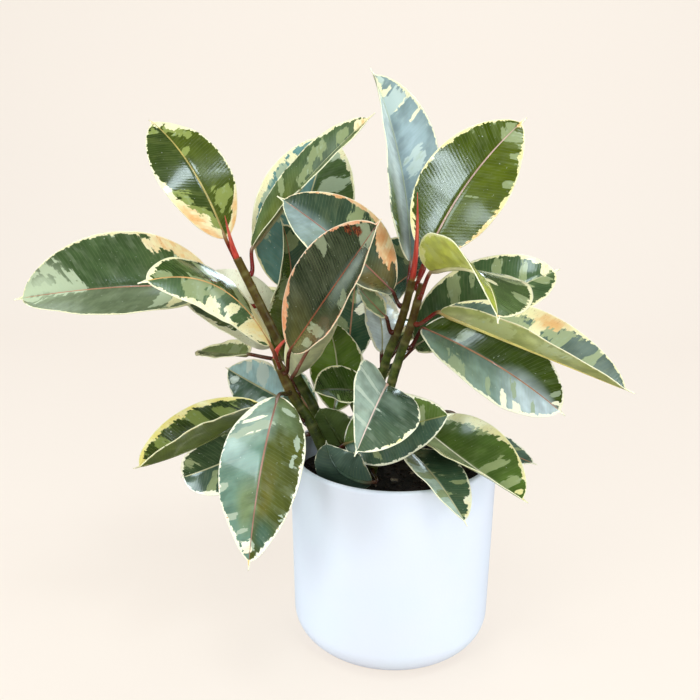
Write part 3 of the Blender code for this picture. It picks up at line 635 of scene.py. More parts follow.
# How the noise of each leaf is told from that of the next
BLADE_SEED = 7.3
STALK_SEED = 3.1
# The length that the material takes a stalk for, and a distance that is past every margin and patch
STALK_LENGTH = 90
FAR = 20
# Distances from the margin near the tip: per millimetre from the tip, and at the tip itself
TIP_EDGE = (0.45, 0.3)
# How steeply a patch falls from its middle, where noise can still move its outline
PATCH_SLOPE = 2.6
# Half width of the midrib's colour at the base, and its least
RIB_LINE = (0.55, 0.15)


def outline(s):
    """Half width of a blade, as a share of its greatest, at s from base 0 to tip 1."""
    body = np.minimum(s / BODY_END, 1.0)
    width = np.maximum(np.sin(np.pi * body ** BODY_LEAN), 0.0) ** BODY_ROUND
    tip = np.clip(TIP_WIDTH * (1.0 - s) / TIP_TAPER, TIP_LEAST, TIP_WIDTH)
    return np.where(s > TIP_START, np.maximum(width, tip), width)


def blade_line(spec, s):
    """Midrib point, direction, side and face of a blade at each s."""
    base, tip = spec["base"], spec["tip"]
    along = unit(tip - base)
    face = direction(*spec["face"])
    face = unit(face - along * np.dot(face, along))
    side = np.cross(along, face)
    middle = (base + tip) / 2 + 2 * (spec["droop"] * face + spec["sway"] * side)
    s = s[:, None]
    place = base * (1 - s) ** 2 + middle * 2 * s * (1 - s) + tip * s ** 2
    heading = unit((middle - base) * (1 - s) + (tip - middle) * s)
    up = unit(face - heading * (heading @ face)[:, None])
    across = np.cross(heading, up)
    turn = spec["twist"] * (s - 0.5)
    side = across * np.cos(turn) - up * np.sin(turn)
    face = up * np.cos(turn) + across * np.sin(turn)
    return place, heading, side, face


def margin_wave(s, counts, phases):
    """Height of a long and a short wave along one margin, as a column."""
    long = np.sin(2 * np.pi * counts[0] * s + phases[0])
    short = np.sin(2 * np.pi * counts[1] * s + phases[1])
    return (long + 0.5 * short)[:, None]


def blade_skin(spec, s, v, random):
    """Upper and lower points of a blade, and its half width at each row."""
    place, _, across, up = blade_line(spec, s)
    half = spec["width"] / 2 * outline(s)
    reach = half[:, None] * np.abs(v)[None, :]
    sign = np.where(v < 0, -1.0, 1.0)
    fold = np.where(v < 0, spec["folds"][0], spec["folds"][1])
    rise = fold + spec["cup"] * np.abs(v) / 2
    slope = fold + spec["cup"] * np.abs(v)
    across = across[:, None, :]
    up = up[:, None, :]
    point = place[:, None, :] + reach[..., None] * ((sign * np.cos(rise))[None, :, None] * across
                                                    + np.sin(rise)[None, :, None] * up)
    normal = np.cos(slope)[None, :, None] * up - (sign * np.sin(slope))[None, :, None] * across
    lean = (spec["folds"][0] + spec["folds"][1]) / 2
    tilt = (spec["folds"][0] - spec["folds"][1]) / 2
    middle = unit(up * math.cos(lean) + across * math.sin(tilt))
    near = np.clip(np.abs(v) / MIDRIB_SOFT, 0.0, 1.0)[None, :, None]
    normal = unit(middle * (1 - near) + normal * near)
    phase = random.uniform(0, 2 * np.pi, 4)
    waves = np.where(v[None, :] < 0, margin_wave(s, WAVES[0], phase[:2]), margin_wave(s, WAVES[1], phase[2:]))
    calm = np.clip(outline(s) * 1.5, 0, 1)[:, None]
    point = point + normal * (WAVE_HEIGHT * calm * waves * np.abs(v)[None, :] ** WAVE_RISE)[..., None]
    groove = GROOVE_DEPTH * bell(reach / GROOVE_REACH) * calm
    upper = point + normal * (BLADE_HALF_THICKNESS - groove)[..., None]
    lower = point - normal * BLADE_HALF_THICKNESS
    return upper, lower, half


def lifted(colour):
    """A body colour made lighter, the darker it is the more."""
    return colour * (1 + BODY_LIFT * (1 - colour) ** 2)


def markings(name, spec, s, v, half, under, seed):
    """Fields that the leaf material reads, on one side of the blade.

    x is the distance from the midrib, q the place along it of the side vein through a point, and inset the
    distance from the margin, all in millimetres. cream and sage are above 0 inside a patch, and blush and
    under are shares.
    """
    marks = PAINT[name]
    length = np.linalg.norm(spec["tip"] - spec["base"]) / MM
    x = half[:, None] / MM * np.abs(v)[None, :]
    y = length * s[:, None] + 0 * x
    q = y - VEIN_LEAN * x
    inset = half[:, None] / MM * (1 - np.abs(v)[None, :])
    inset = np.minimum(inset, TIP_EDGE[0] * (1.0 - s[:, None]) * length + TIP_EDGE[1])
    edge = np.full_like(x, marks["margin"])
    for side, place, reach, width in marks["margins"]:
        on_side = np.clip(side * v[None, :] * 6 + 0.5, 0, 1)
        edge = edge + width * bell((s[:, None] - place) / reach) * on_side
    cream = (edge - inset) / (0.9 + 0.3 * edge)
    sage = (edge + marks["fringe"] - 0.5 * inset - 2.0) / 2.2
    blush = np.zeros_like(x)
    fade = UNDER_SHARE * under

    def faded(colour):
        return linear(colour) * (1 - fade) + linear(marks["below"]) * fade

    left = np.clip(0.5 - v * 8, 0, 1)[None, :, None]
    green = faded(marks["green"][0]) * left + faded(marks["green"][1]) * (1 - left)
    for kind, place, where, long, wide in marks["patches"]:
        middle = np.interp(place, s, half) / MM * abs(where)
        station = length * place - VEIN_LEAN * middle
        forth = np.abs(q - station) / (long * length)
        beside = np.abs(v[None, :] - where) / wide
        distance = (forth ** 3 + beside ** 3) ** (1 / 3)
        field = (1.0 - distance) * PATCH_SLOPE
        if isinstance(kind, tuple):
            share = np.clip(1.5 - 1.5 * distance, 0, 1)[..., None]
            green = green * (1 - share) + faded(kind) * share
        elif kind == "cream":
            cream = np.maximum(cream, field)
        elif kind == "sage":
            sage = np.maximum(sage, field)
        elif kind == "dark":
            cream = np.minimum(cream, -field)
            sage = np.minimum(sage, -field)
        elif kind == "blush":
            blush = np.maximum(blush, np.clip(1.4 * (1.0 - distance), 0, 1))
        elif kind == "scar":
            blush = np.maximum(blush, np.clip(3.0 - 2.0 * distance, 0, 3))
    near_tip = np.clip(s[:, None] * 12 - 11.1, 0, 1)
    rib = RIB_LINE[0] * (1 - s[:, None]) ** MIDRIB_TAPER + RIB_LINE[1] - 1.2 * near_tip - x
    along = s[:, None, None]
    ribs = linear(marks["rib"][0]) * (1 - along) + linear(marks["rib"][1]) * along
    shape = x.shape + (3,)
    return {
        "vein": stacked(x.shape, q, x, seed),
        "paint": stacked(x.shape, cream, sage, blush),
        "edge": stacked(x.shape, inset, rib, under),
        "green": np.broadcast_to(lifted(green), shape),
        "sage": np.broadcast_to(lifted(faded(marks["sage"])), shape),
        "cream": np.broadcast_to(faded(marks["cream"]), shape),
        "blush": np.broadcast_to(faded(marks["blush"]), shape),
        "rib": np.broadcast_to(ribs, shape),
    }


def petiole_line(spec):
    """Centre line of a petiole, from inside the stem's skin to the blade's base."""
    base = spec["base"]
    _, heading, across, _ = [part[0] for part in blade_line(spec, np.array([0.0]))]
    centre, axis, radius = stem_at(spec["stem"], spec["height"])
    outward = base - centre
    outward = unit(outward - axis * np.dot(outward, axis))
    foot = centre + outward * (radius + PETIOLE_GAP)
    reach = np.linalg.norm(base - foot)
    first = foot + outward * max(PETIOLE_STUB, PETIOLE_LIFT * reach)
    second = base - heading * PETIOLE_LEAD * reach
    t = np.linspace(0, 1, PETIOLE_ROWS)[:, None]
    u = 1 - t
    line = foot * u ** 3 + first * 3 * u * u * t + second * 3 * u * t * t + base * t ** 3
    line[0] = centre + outward * radius * PETIOLE_ROOT
    collar = bell(np.linalg.norm(line - foot, axis=1) / (1.5 * MM))
    flare = 1.0 + PETIOLE_FLARE * u[:, 0] ** 2 + PETIOLE_COLLAR * collar
    return line, PETIOLE_RADIUS * flare, across


def build_leaf(number, name, mat):
    """A blade, and the tube of its petiole and midrib, as one piece."""
    spec = LEAVES[name]
    marks = PAINT[name]
    random = np.random.RandomState(100 + number)
    share = np.linspace(0, 1, BLADE_ROWS)
    closer = (1 - np.cos(np.pi * share)) / 2
    s = BLADE_START + (1 - BLADE_START) * (0.55 * share + 0.45 * closer)
    positive = np.array(HALF_COLUMNS)
    v = np.concatenate((-positive[::-1], [0.0], positive))
    upper, lower, half = blade_skin(spec, s, v, random)
    rings = np.concatenate((upper, lower[:, ::-1]), axis=1)
    seed = number * BLADE_SEED
    top = markings(name, spec, s, v, half, 0.0, seed)
    below = markings(name, spec, s, v[::-1], half, 1.0, seed)
    fields = {key: np.concatenate((top[key], below[key]), axis=1) for key in top}
    blade = loft(rings, BLADE_SHEET, fields)

    line, radii, across = petiole_line(spec)
    rib_s = np.linspace(MIDRIB_START, MIDRIB_END, MIDRIB_ROWS)
    place, _, _, up = blade_line(spec, rib_s)
    rib_radius = MIDRIB_RADIUS * (1 - rib_s) ** MIDRIB_TAPER + MIDRIB_LEAST
    sink = np.maximum(rib_radius - MIDRIB_SINK, 0.0) * np.clip(rib_s / 0.05, 0, 1)
    path = np.concatenate((line, place - up * sink[:, None]))
    sizes = np.concatenate((radii, rib_radius))
    sizes = np.minimum(sizes, np.concatenate((sizes[:1], sizes[:-1])) * MIDRIB_GROWTH)
    tube = round_rings(path, sizes, PETIOLE_SIDES, across)
    rows = len(path)
    shape = (rows, PETIOLE_SIDES)
    along = np.linspace(0, 1, rows)[:, None]
    on_blade = np.clip((np.arange(rows) - PETIOLE_ROWS * 0.75) / (PETIOLE_ROWS * 0.6), 0, 1)[:, None, None]
    skin = linear(marks["petiole"]) * (1 - on_blade) + linear(marks["rib"][0]) * on_blade
    whole = shape + (3,)
    tube_fields = {
        "vein": stacked(shape, 0.0, along * STALK_LENGTH, number * STALK_SEED),
        "paint": stacked(shape, -FAR, -FAR, 0.0),
        "edge": stacked(shape, FAR, -FAR, 0.0),
        "green": np.broadcast_to(skin, whole),
        "sage": np.broadcast_to(linear(SAGE), whole),
        "cream": np.broadcast_to(linear(CREAM), whole),
        "blush": np.broadcast_to(linear(PEACH), whole),
        "rib": np.broadcast_to(skin, whole),
    }
    stalk = loft(tube, STALK_SHEET, tube_fields)
    dress("leaf_" + name, [blade, stalk], mat)


# Materials


class Graph:
    """Short names for the nodes of one material or world."""

    def __init__(self, owner, shader="Principled BSDF"):
        owner.use_nodes = True
        self.owner = owner
        self.tree = owner.node_tree
        self.shader = self.tree.nodes[shader]

    def node(self, kind, **settings):
        made = self.tree.nodes.new(kind)
        for key, value in settings.items():
            setattr(made, key, value)
        return made

    def feed(self, socket, value):
        if isinstance(value, bpy.types.NodeSocket):
            self.tree.links.new(value, socket)
        else:
            socket.default_value = value

    def math(self, operation, a, b=0.0, c=0.0):
        made = self.node("ShaderNodeMath", operation=operation)
        for socket, value in zip(made.inputs, (a, b, c)):
            self.feed(socket, value)
        return made.outputs[0]

    def times(self, a, b):
        return self.math("MULTIPLY", a, b)

    def plus(self, a, b):
        return self.math("ADD", a, b)

    def swing(self, noise, amount):
        """A noise of 0 to 1 as a swing about 0."""
        return self.times(self.math("SUBTRACT", noise, 0.5), amount)

    def parts(self, vector):
        made = self.node("ShaderNodeSeparateXYZ")
        self.feed(made.inputs[0], vector)
        return made.outputs

    def field(self, name):
        """The three parts of a vector field on the mesh."""
        return self.parts(self.node("ShaderNodeAttribute", attribute_name=name).outputs["Vector"])

    def colour(self, name):
        return self.node("ShaderNodeAttribute", attribute_name=name).outputs["Color"]

    def vector(self, x, y, z):
        made = self.node("ShaderNodeCombineXYZ")
        for socket, value in zip(made.inputs, (x, y, z)):
            self.feed(socket, value)
        return made.outputs[0]

    def place(self, space="Object"):
        return self.node("ShaderNodeTexCoord").outputs[space]

    def noise(self, vector, scale, detail=2.0, roughness=0.5):
        made = self.node("ShaderNodeTexNoise")
        self.feed(made.inputs["Vector"], vector)
        made.inputs["Scale"].default_value = scale
        made.inputs["Detail"].default_value = detail
        made.inputs["Roughness"].default_value = roughness
        return made.outputs[0]

    def grain(self, along, along_rate, across, across_rate, seed, detail=2.0, roughness=0.5):
        """Noise that is stretched along one of two coordinates."""
        place = self.vector(self.times(along, along_rate), self.times(across, across_rate), seed)
        return self.noise(place, 1.0, detail, roughness)

    def stepped(self, along, across, rate, sway, step):
        """A coordinate in steps, whose edges sway from side to side."""
        wave = self.math("SINE", self.times(across, rate))
        return self.math("SNAP", self.math("MULTIPLY_ADD", wave, sway, along), step)

    def ramp(self, value, low, high, out_low=0.0, out_high=1.0):
        """Smooth rise of a value from out_low at low to out_high at high."""
        made = self.node("ShaderNodeMapRange", interpolation_type="SMOOTHSTEP")
        for socket, number in zip(made.inputs, (value, low, high, out_low, out_high)):
            self.feed(socket, number)
        return made.outputs[0]

    def mix(self, factor, a, b):
        made = self.node("ShaderNodeMix", data_type="RGBA")
        self.feed(made.inputs[0], factor)
        for socket, value in ((made.inputs[6], a), (made.inputs[7], b)):
            if isinstance(value, bpy.types.NodeSocket):
                self.feed(socket, value)
            else:
                socket.default_value = (*linear(value), 1.0)
        return made.outputs[2]

    def tint(self, base, colour, where, strength):
        """A colour laid over a base where a field of 0 to 1 says so, with a strength."""
        return self.mix(self.times(where, strength), base, colour)

    def bump(self, height, distance):
        made = self.node("ShaderNodeBump")
        made.inputs["Strength"].default_value = 1.0
        made.inputs["Distance"].default_value = distance
        self.feed(made.inputs["Height"], height)
        return made.outputs[0]

    def set(self, **values):
        """Constants on the shader's own sockets, whose names are written with underscores."""
        for key, value in values.items():
            self.shader.inputs[key.replace("_", " ")].default_value = value

    def finish(self, colour, roughness, normal):
        self.feed(self.shader.inputs["Base Color"], colour)
        self.feed(self.shader.inputs["Roughness"], roughness)
        self.feed(self.shader.inputs["Normal"], normal)
        return self.owner


def material(name):
    return Graph(bpy.data.materials.new(name))


def leaf_material():
    g = material("variegated_leaf")
    q, x, seed = g.field("vein")
    cream, sage, blush = g.field("paint")
    inset, rib, under = g.field("edge")

    # Noises that follow the side veins: in steps for the outlines of patches, smooth for the mottle
    strip = g.stepped(q, x, 0.5, 0.3, 1.8)
    block = g.stepped(q, x, 0.3, 0.6, 2.6)
    streak = g.grain(strip, 0.34, x, 0.10, seed, 3.0, 0.6)
    fine = g.grain(q, 1.5, x, 0.4, seed)
    broad = g.grain(q, 0.1, x, 0.09, seed)
    other = g.grain(block, 0.19, x, 0.055, g.plus(seed, 3.7), 3.0, 0.6)
    jagged = g.plus(g.swing(streak, 4.0), g.swing(other, 3.0))
    ragged = g.plus(g.swing(other, 7.0), g.swing(fine, 1.0))
    in_cream = g.ramp(g.plus(cream, jagged), -0.10, 0.14)
    in_sage = g.ramp(g.plus(sage, ragged), -0.16, 0.2)

    # Body: mottled green with fine side veins
    wobble = g.math("MULTIPLY_ADD", g.math("SUBTRACT", broad, 0.5), 2.0, q)
    saw = g.math("ABSOLUTE", g.math("SUBTRACT", g.math("FRACT", g.math("DIVIDE", wobble, VEIN_SPACING)), 0.5))
    line = g.times(g.ramp(saw, 0.09, 0.02), g.ramp(streak, 0.3, 0.6, 0.35, 1.0))
    body = g.mix(g.ramp(broad, 0.3, 0.7), g.mix(0.32, g.colour("green"), (18, 30, 10)), g.colour("green"))
    body = g.tint(body, g.colour("sage"), g.ramp(other, 0.45, 0.75), 0.16)
    body = g.tint(body, SAGE, line, 0.26)

    # Sage patches, cream edge with its peach stains, brown spots and scars, midrib and dust
    pale = g.tint(g.colour("sage"), g.mix(0.5, g.colour("sage"), g.colour("green")), fine, 0.35)
    pale = g.tint(pale, MINT, g.ramp(streak, 0.55, 0.75), 0.5)
    skin = g.mix(in_sage, body, pale)
    light = g.tint(g.colour("cream"), IVORY, g.ramp(broad, 0.35, 0.7), 0.35)
    light = g.tint(light, SAGE, g.ramp(fine, 0.58, 0.72), 0.35)
    stained = g.times(g.math("MINIMUM", blush, 1.0), g.ramp(other, 0.36, 0.6, 0.25, 0.9))
    light = g.mix(stained, light, g.colour("blush"))
    # The very edge is painted whiter: partly the margin's own colour, partly a painted rim highlight.
    light = g.tint(light, IVORY, g.ramp(inset, 0.8, 0.2), 0.5)
    skin = g.mix(in_cream, skin, light)
    spots = g.times(g.times(g.ramp(fine, 0.62, 0.7), g.ramp(other, 0.5, 0.6)), in_cream)
    skin = g.tint(skin, (206, 122, 48), spots, 0.7)
    scar = g.ramp(g.plus(blush, g.swing(streak, 3.0)), 1.5, 2.0)
    skin = g.mix(scar, skin, g.mix(g.ramp(fine, 0.45, 0.65), (58, 26, 14), (142, 70, 38)))
    skin = g.mix(g.ramp(rib, -0.3, 0.1), skin, g.colour("rib"))
    dust = g.noise(g.place(), 620.0, 1.0)
    skin = g.tint(skin, (206, 210, 196), g.ramp(dust, 0.75, 0.79), 0.5)

    # The side veins are sunken above and raised below
    ripple = g.times(g.ramp(saw, 0.5, 0.0), g.math("MULTIPLY_ADD", under, 0.6, -1.0))
    relief = g.plus(ripple, g.times(fine, 0.6))
    rough = g.math("MULTIPLY_ADD", under, 0.26, g.math("MULTIPLY_ADD", fine, 0.08, 0.14))
    g.set(Specular_IOR_Level=0.6, Coat_Weight=0.4, Coat_Roughness=0.08)
    return g.finish(skin, rough, g.bump(relief, 0.026 * MM))


def bark_material():
    g = material("green_brown_stem")
    scar, age, _ = g.field("bark")
    place = g.place()
    mottle = g.noise(place, 220.0, 4.0, 0.65)
    flecks = g.noise(place, 900.0, 2.0)
    bark = g.mix(g.ramp(mottle, 0.35, 0.65), (44, 52, 12), (80, 94, 26))
    bark = g.tint(bark, (58, 58, 28), age, 0.25)
    bark = g.mix(g.ramp(age, 0.3, 0.0, 0.0, 0.45), bark, (104, 52, 22))
    bark = g.tint(bark, (150, 142, 92), g.ramp(flecks, 0.62, 0.72), 0.25)
    bark = g.tint(bark, (142, 134, 82), scar, 0.4)
    relief = g.plus(mottle, g.times(flecks, 0.4))
    return g.finish(bark, g.ramp(mottle, 0.3, 0.7, 0.32, 0.45), g.bump(relief, 0.22 * MM))


def sheath_material():
    g = material("red_sheath")
    along, around, _ = g.field("sheath")
    grain = g.grain(along, 4.0, around, 14.0, 0.0, 3.0)
    skin = g.mix(along, (200, 58, 48), (236, 118, 94))
    skin = g.mix(g.ramp(grain, 0.4, 0.7), skin, (168, 24, 30))
    skin = g.mix(g.ramp(along, 0.12, 0.0), skin, (120, 120, 52))
    return g.finish(skin, g.ramp(grain, 0.3, 0.7, 0.3, 0.42), g.bump(grain, 0.25 * MM))


def soil_material():
    g = material("potting_soil")
    place = g.place()
    clods = g.noise(place, 160.0, 5.0, 0.7)
    grit = g.noise(place, 700.0, 3.0, 0.7)
    soil = g.mix(g.ramp(clods, 0.35, 0.7), (18, 13, 10), (46, 35, 27))
    soil = g.tint(soil, (120, 100, 78), g.ramp(grit, 0.62, 0.72), 0.6)
    relief = g.plus(clods, g.times(grit, 0.5))
    return g.finish(soil, g.ramp(grit, 0.3, 0.7, 0.85, 1.0), g.bump(relief, 2.0 * MM))


def crumb_material():
    g = material("soil_crumbs")
    place = g.place()
    grain = g.noise(place, 500.0, 4.0, 0.7)
    kinds = g.noise(place, 90.0, 1.0)
    crumb = g.mix(g.ramp(grain, 0.35, 0.7), (24, 18, 13), (62, 47, 36))
    crumb = g.mix(g.ramp(kinds, 0.62, 0.66), crumb, (138, 124, 104))
    return g.finish(crumb, 0.9, g.bump(grain, 0.8 * MM))


def glaze_material():
    g = material("white_pot_glaze")
    place = g.place()
    cloud = g.noise(place, 22.0, 3.0)
    pitted = g.noise(place, 480.0, 2.0)
    height = g.parts(place)[2]
    glaze = g.mix(g.ramp(cloud, 0.35, 0.7), (222, 228, 242), (220, 228, 241))
    # Greyer and warmer towards the bottom, over its last 4 mm.
    glaze = g.tint(glaze, (196, 192, 184), g.ramp(height, 4.0 * MM, 0.0), 0.5)
    specks = g.noise(place, 1300.0, 1.0)
    glaze = g.tint(glaze, (190, 192, 196), g.ramp(specks, 0.76, 0.80), 0.3)
    g.set(Coat_Weight=0.15, Coat_Roughness=0.35)
    return g.finish(glaze, g.ramp(cloud, 0.3, 0.7, 0.42, 0.5), g.bump(pitted, 0.05 * MM))


# Stems, sheaths, pot and soil


def build_stem(stem, mat):
    """A slightly uneven tube with raised leaf scars."""
    path, radii = stem_path(stem, STEM_FINE)
    random = np.random.RandomState(len(stem) * 7)
    fine = np.linspace(0, 1, STEM_ROWS)
    share = np.linspace(0, 1, len(path))
    path = np.stack([np.interp(fine, share, path[:, axis]) for axis in range(3)], axis=-1)
    radii = np.interp(fine, share, radii)
    length = np.concatenate(([0.0], np.cumsum(np.linalg.norm(np.diff(path, axis=0), axis=1))))
    scars = np.zeros(len(path))
    place = SCAR_START
    while place < length[-1] - SCAR_END_GAP:
        scars += bell((length - place) / SCAR_REACH)
        place += SCAR_SPACING * random.uniform(*SCAR_SPREAD)
    rings = round_rings(path, radii + SCAR_HEIGHT * scars, STEM_SIDES)
    turn = 3 * 2 * np.pi * np.arange(STEM_SIDES) / STEM_SIDES
    swell = 1.0 + STEM_UNEVEN * np.sin(turn + 9 * fine[:, None])
    rings = path[:, None, :] + (rings - path[:, None, :]) * swell[..., None]
    age = np.clip(1.2 - 1.6 * fine, 0, 1)
    field = stacked((STEM_ROWS, STEM_SIDES), np.clip(scars, 0, 1)[:, None], age[:, None], 0.0)
    dress("stem_" + stem, [loft(rings, SHEET, {"bark": field})], mat)


def build_bud(stem, mat):
    """A pointed sheath with a fold that winds round it."""
    path, _ = stem_path(stem, STEM_FINE)
    axis = unit(path[-1] - path[-2])
    start = path[-1] - axis * BUD_SEAT
    end = np.array(BUDS[stem]) * MM
    bend = start + axis * np.linalg.norm(end - start) * BUD_BEND
    t = np.linspace(0, 1, BUD_ROWS)[:, None]
    line = start * (1 - t) ** 2 + bend * 2 * t * (1 - t) + end * t ** 2
    t = t[:, 0]
    foot = 0.85 + 1.2 * t
    point = 1.02 - 0.95 * t ** 1.6
    radii = BUD_RADIUS * np.minimum(point, foot)
    rings = round_rings(line, radii, BUD_SIDES)
    turn = np.arange(BUD_SIDES) / BUD_SIDES
    off_fold = (turn[None, :] - BUD_WIND * t[:, None]) % 1.0 - 0.5
    fold = 1.0 - BUD_FOLD * bell(off_fold / BUD_FOLD_WIDTH)
    rings = line[:, None, :] + (rings - line[:, None, :]) * fold[..., None]
    field = stacked((BUD_ROWS, BUD_SIDES), t[:, None], turn[None, :], 0.0)
    dress("bud_" + stem, [loft(rings, SHEET, {"sheath": field})], mat)


def arc(centre_r, centre_z, radius, start, end, count):
    """Profile points on an arc, from one angle to another in degrees."""
    turn = np.radians(np.linspace(start, end, count + 1))
    return list(zip(centre_r + radius * np.cos(turn), centre_z + radius * np.sin(turn)))


def turned_rings(profile, steps):
    """A profile of (radius, height) points turned round the Z axis, as rows of rings."""
    turn = 2 * np.pi * np.arange(steps) / steps
    profile = np.array(profile)
    x = profile[:, 0:1] * np.cos(turn)
    y = profile[:, 0:1] * np.sin(turn)
    z = profile[:, 1:2] + 0 * x
    return np.stack((x, y, z), axis=-1)


def stretch(start, end, count):
    """Points strictly between two profile points."""
    share = np.linspace(0, 1, count + 2)[1:-1]
    return [(start[0] + (end[0] - start[0]) * t, start[1] + (end[1] - start[1]) * t) for t in share]


def build_pot():
    """Foot, outer wall, rounded lip, inner wall and floor in one profile."""
    inner = POT_RADIUS - POT_WALL
    foot_inner = POT_FOOT_RADIUS - POT_WALL
    slope = (POT_RADIUS - POT_FOOT_RADIUS) / POT_HEIGHT
    corner = POT_FOOT_RADIUS + slope * POT_CORNER - POT_CORNER
    bottom = [(AXIS_GAP, 0.0)] + stretch((AXIS_GAP, 0.0), (corner, 0.0), 6)
    foot = arc(corner, POT_CORNER, POT_CORNER, -90, 0, 18)
    lip = arc(POT_RADIUS - POT_LIP, POT_HEIGHT - POT_LIP, POT_LIP, 0, 90, 7)
    back = arc(inner + POT_LIP, POT_HEIGHT - POT_LIP, POT_LIP, 90, 180, 7)
    well = arc(foot_inner - POT_INNER_CORNER, POT_FLOOR + POT_INNER_CORNER, POT_INNER_CORNER, 0, -90, 10)
    profile = bottom + foot + stretch(foot[-1], lip[0], 26) + lip + back[1:] + stretch(back[-1], well[0], 12)
    profile += well + [(AXIS_GAP, POT_FLOOR)]
    rings = turned_rings(profile, POT_STEPS)
    dress("pot", [loft(rings, SHEET, {"pot": np.zeros(rings.shape)})], glaze_material())


def lumps(x, y, seed):
    """Smooth unevenness between about -1 and 1, from a sum of seeded waves."""
    random = np.random.RandomState(seed)
    total = np.zeros_like(x)
    for _ in range(SOIL_WAVES):
        rate = random.uniform(*SOIL_WAVE_RATES)
        turn = random.uniform(0, 2 * np.pi)
        shift = random.uniform(0, 2 * np.pi)
        fade = SOIL_WAVE_FADE / (SOIL_WAVE_FADE + rate)
        total += np.sin(rate * (x * math.cos(turn) + y * math.sin(turn)) + shift) * fade
    return total / 6.0


def soil_height(x, y):
    """The soil's uneven surface, which drops a little towards the pot's wall."""
    edge = POT_RADIUS - POT_WALL
    radius = np.hypot(x, y)
    return SOIL_LEVEL - SOIL_SINK + SOIL_UNEVEN * lumps(x, y, 4) - SOIL_EDGE_DROP * (radius / edge) ** 4


def build_soil():
    inner = POT_RADIUS - POT_WALL - SOIL_GAP
    foot_inner = POT_FOOT_RADIUS - POT_WALL - SOIL_GAP
    floor = POT_FLOOR + SOIL_GAP
    slope = (inner - foot_inner) / (POT_HEIGHT - POT_FLOOR)
    rim = foot_inner + slope * (SOIL_LEVEL - POT_FLOOR) - SOIL_SLACK
    under = [(AXIS_GAP, floor)] + arc(foot_inner - POT_INNER_CORNER, floor + POT_INNER_CORNER,
                                      POT_INNER_CORNER - SOIL_SLACK, -90, 0, 6)
    side = stretch(under[-1], (rim, SOIL_LEVEL), 8)
    top = [(rim * (1 - k / SOIL_RINGS) + AXIS_GAP, SOIL_LEVEL) for k in range(SOIL_RINGS + 1)]
    rings = turned_rings(under + side + top, SOIL_STEPS)
    surface = rings[len(under) + len(side):]
    surface[..., 2] = soil_height(surface[..., 0], surface[..., 1])
    dress("soil", [loft(rings, SHEET, {"soil": np.zeros(rings.shape)})], soil_material())
    build_crumbs(rim)


def build_crumbs(rim):
    """Loose crumbs of bark and earth that lie on the soil."""
    random = np.random.RandomState(11)
    parts = []
    cell = 0.98 / CRUMB_COLUMNS
    around = 2 * np.pi * np.arange(CRUMB_SIDES) / CRUMB_SIDES
    for k in range(CRUMBS):
        radius = rim * math.sqrt(random.uniform(0, 0.93))
        turn = random.uniform(0, 2 * np.pi)
        centre = np.array((radius * math.cos(turn), radius * math.sin(turn)))
        size = random.uniform(*CRUMB_SIZES) * MM
        height = float(soil_height(centre[0:1], centre[1:2])[0])
        spin = random.uniform(0, 2 * np.pi)
        rows = []
        for level in CRUMB_LEVELS:
            girth = math.sqrt(1 - level * level) * random.uniform(0.8, 1.2, CRUMB_SIDES)
            x = size * CRUMB_SHAPE[0] * girth * np.cos(around)
            y = size * CRUMB_SHAPE[1] * girth * np.sin(around)
            rows.append(np.stack((centre[0] + x * math.cos(spin) - y * math.sin(spin),
                                  centre[1] + x * math.sin(spin) + y * math.cos(spin),
                                  height + size * 0.3 + size * CRUMB_SHAPE[2] * level + 0 * x), axis=-1))
        u = 0.01 + cell * (k % CRUMB_COLUMNS)
        v = 0.01 + cell * (k // CRUMB_COLUMNS)
        rings = np.array(rows)
        parts.append(loft(rings, (u, v, u + cell * 0.9, v + cell * 0.9), {"crumb": np.zeros(rings.shape)}))
    obj = add_mesh("soil_crumbs", parts, crumb_material())
    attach(obj, "root")


# The picture: floor, light and camera

CAMERA_PLACE = (0.0, -0.65, 0.438)
CAMERA_YAW = math.radians(-3.179)
CAMERA_PITCH = math.radians(16.196)
CAMERA_ROLL = math.radians(0.259)
CAMERA_FOCAL = 844.3
PICTURE_WIDTH = 700.0
SENSOR_WIDTH = 36.0
BACKDROP_GLOW = (251, 241, 231)
# The floor's half width, its front edge, the start of the curve, the curve's radius and the wall's top
BACKDROP_HALF_WIDTH = 3.0
BACKDROP_FRONT = -2.0
BACKDROP_BEND = 0.9
BACKDROP_RADIUS = 0.5
BACKDROP_TOP = 2.6
# Windows: turn from the front, rise, width, height and brightness. Each one shows as gloss on some leaves.
WINDOW_COLOUR = (0.78, 0.93, 1.0)
WINDOW_REACH = 1.6
WINDOWS = (
    (0, 18, 0.18, 0.26, 13.0),
    (5, 29, 0.22, 0.24, 13.0),
    (-39, 37, 0.40, 0.50, 5.2),
    (28, 73, 0.34, 0.30, 11.0),
    (69, 63, 0.15, 0.28, 11.0),
    (90, 48, 0.30, 0.30, 7.0),
    (126, 40, 0.50, 0.50, 2.2),
    (63, 2, 0.40, 0.50, 7.0),
    (-98, 3, 0.60, 0.55, 5.0),
    (172, 14, 0.34, 0.40, 6.0),
)
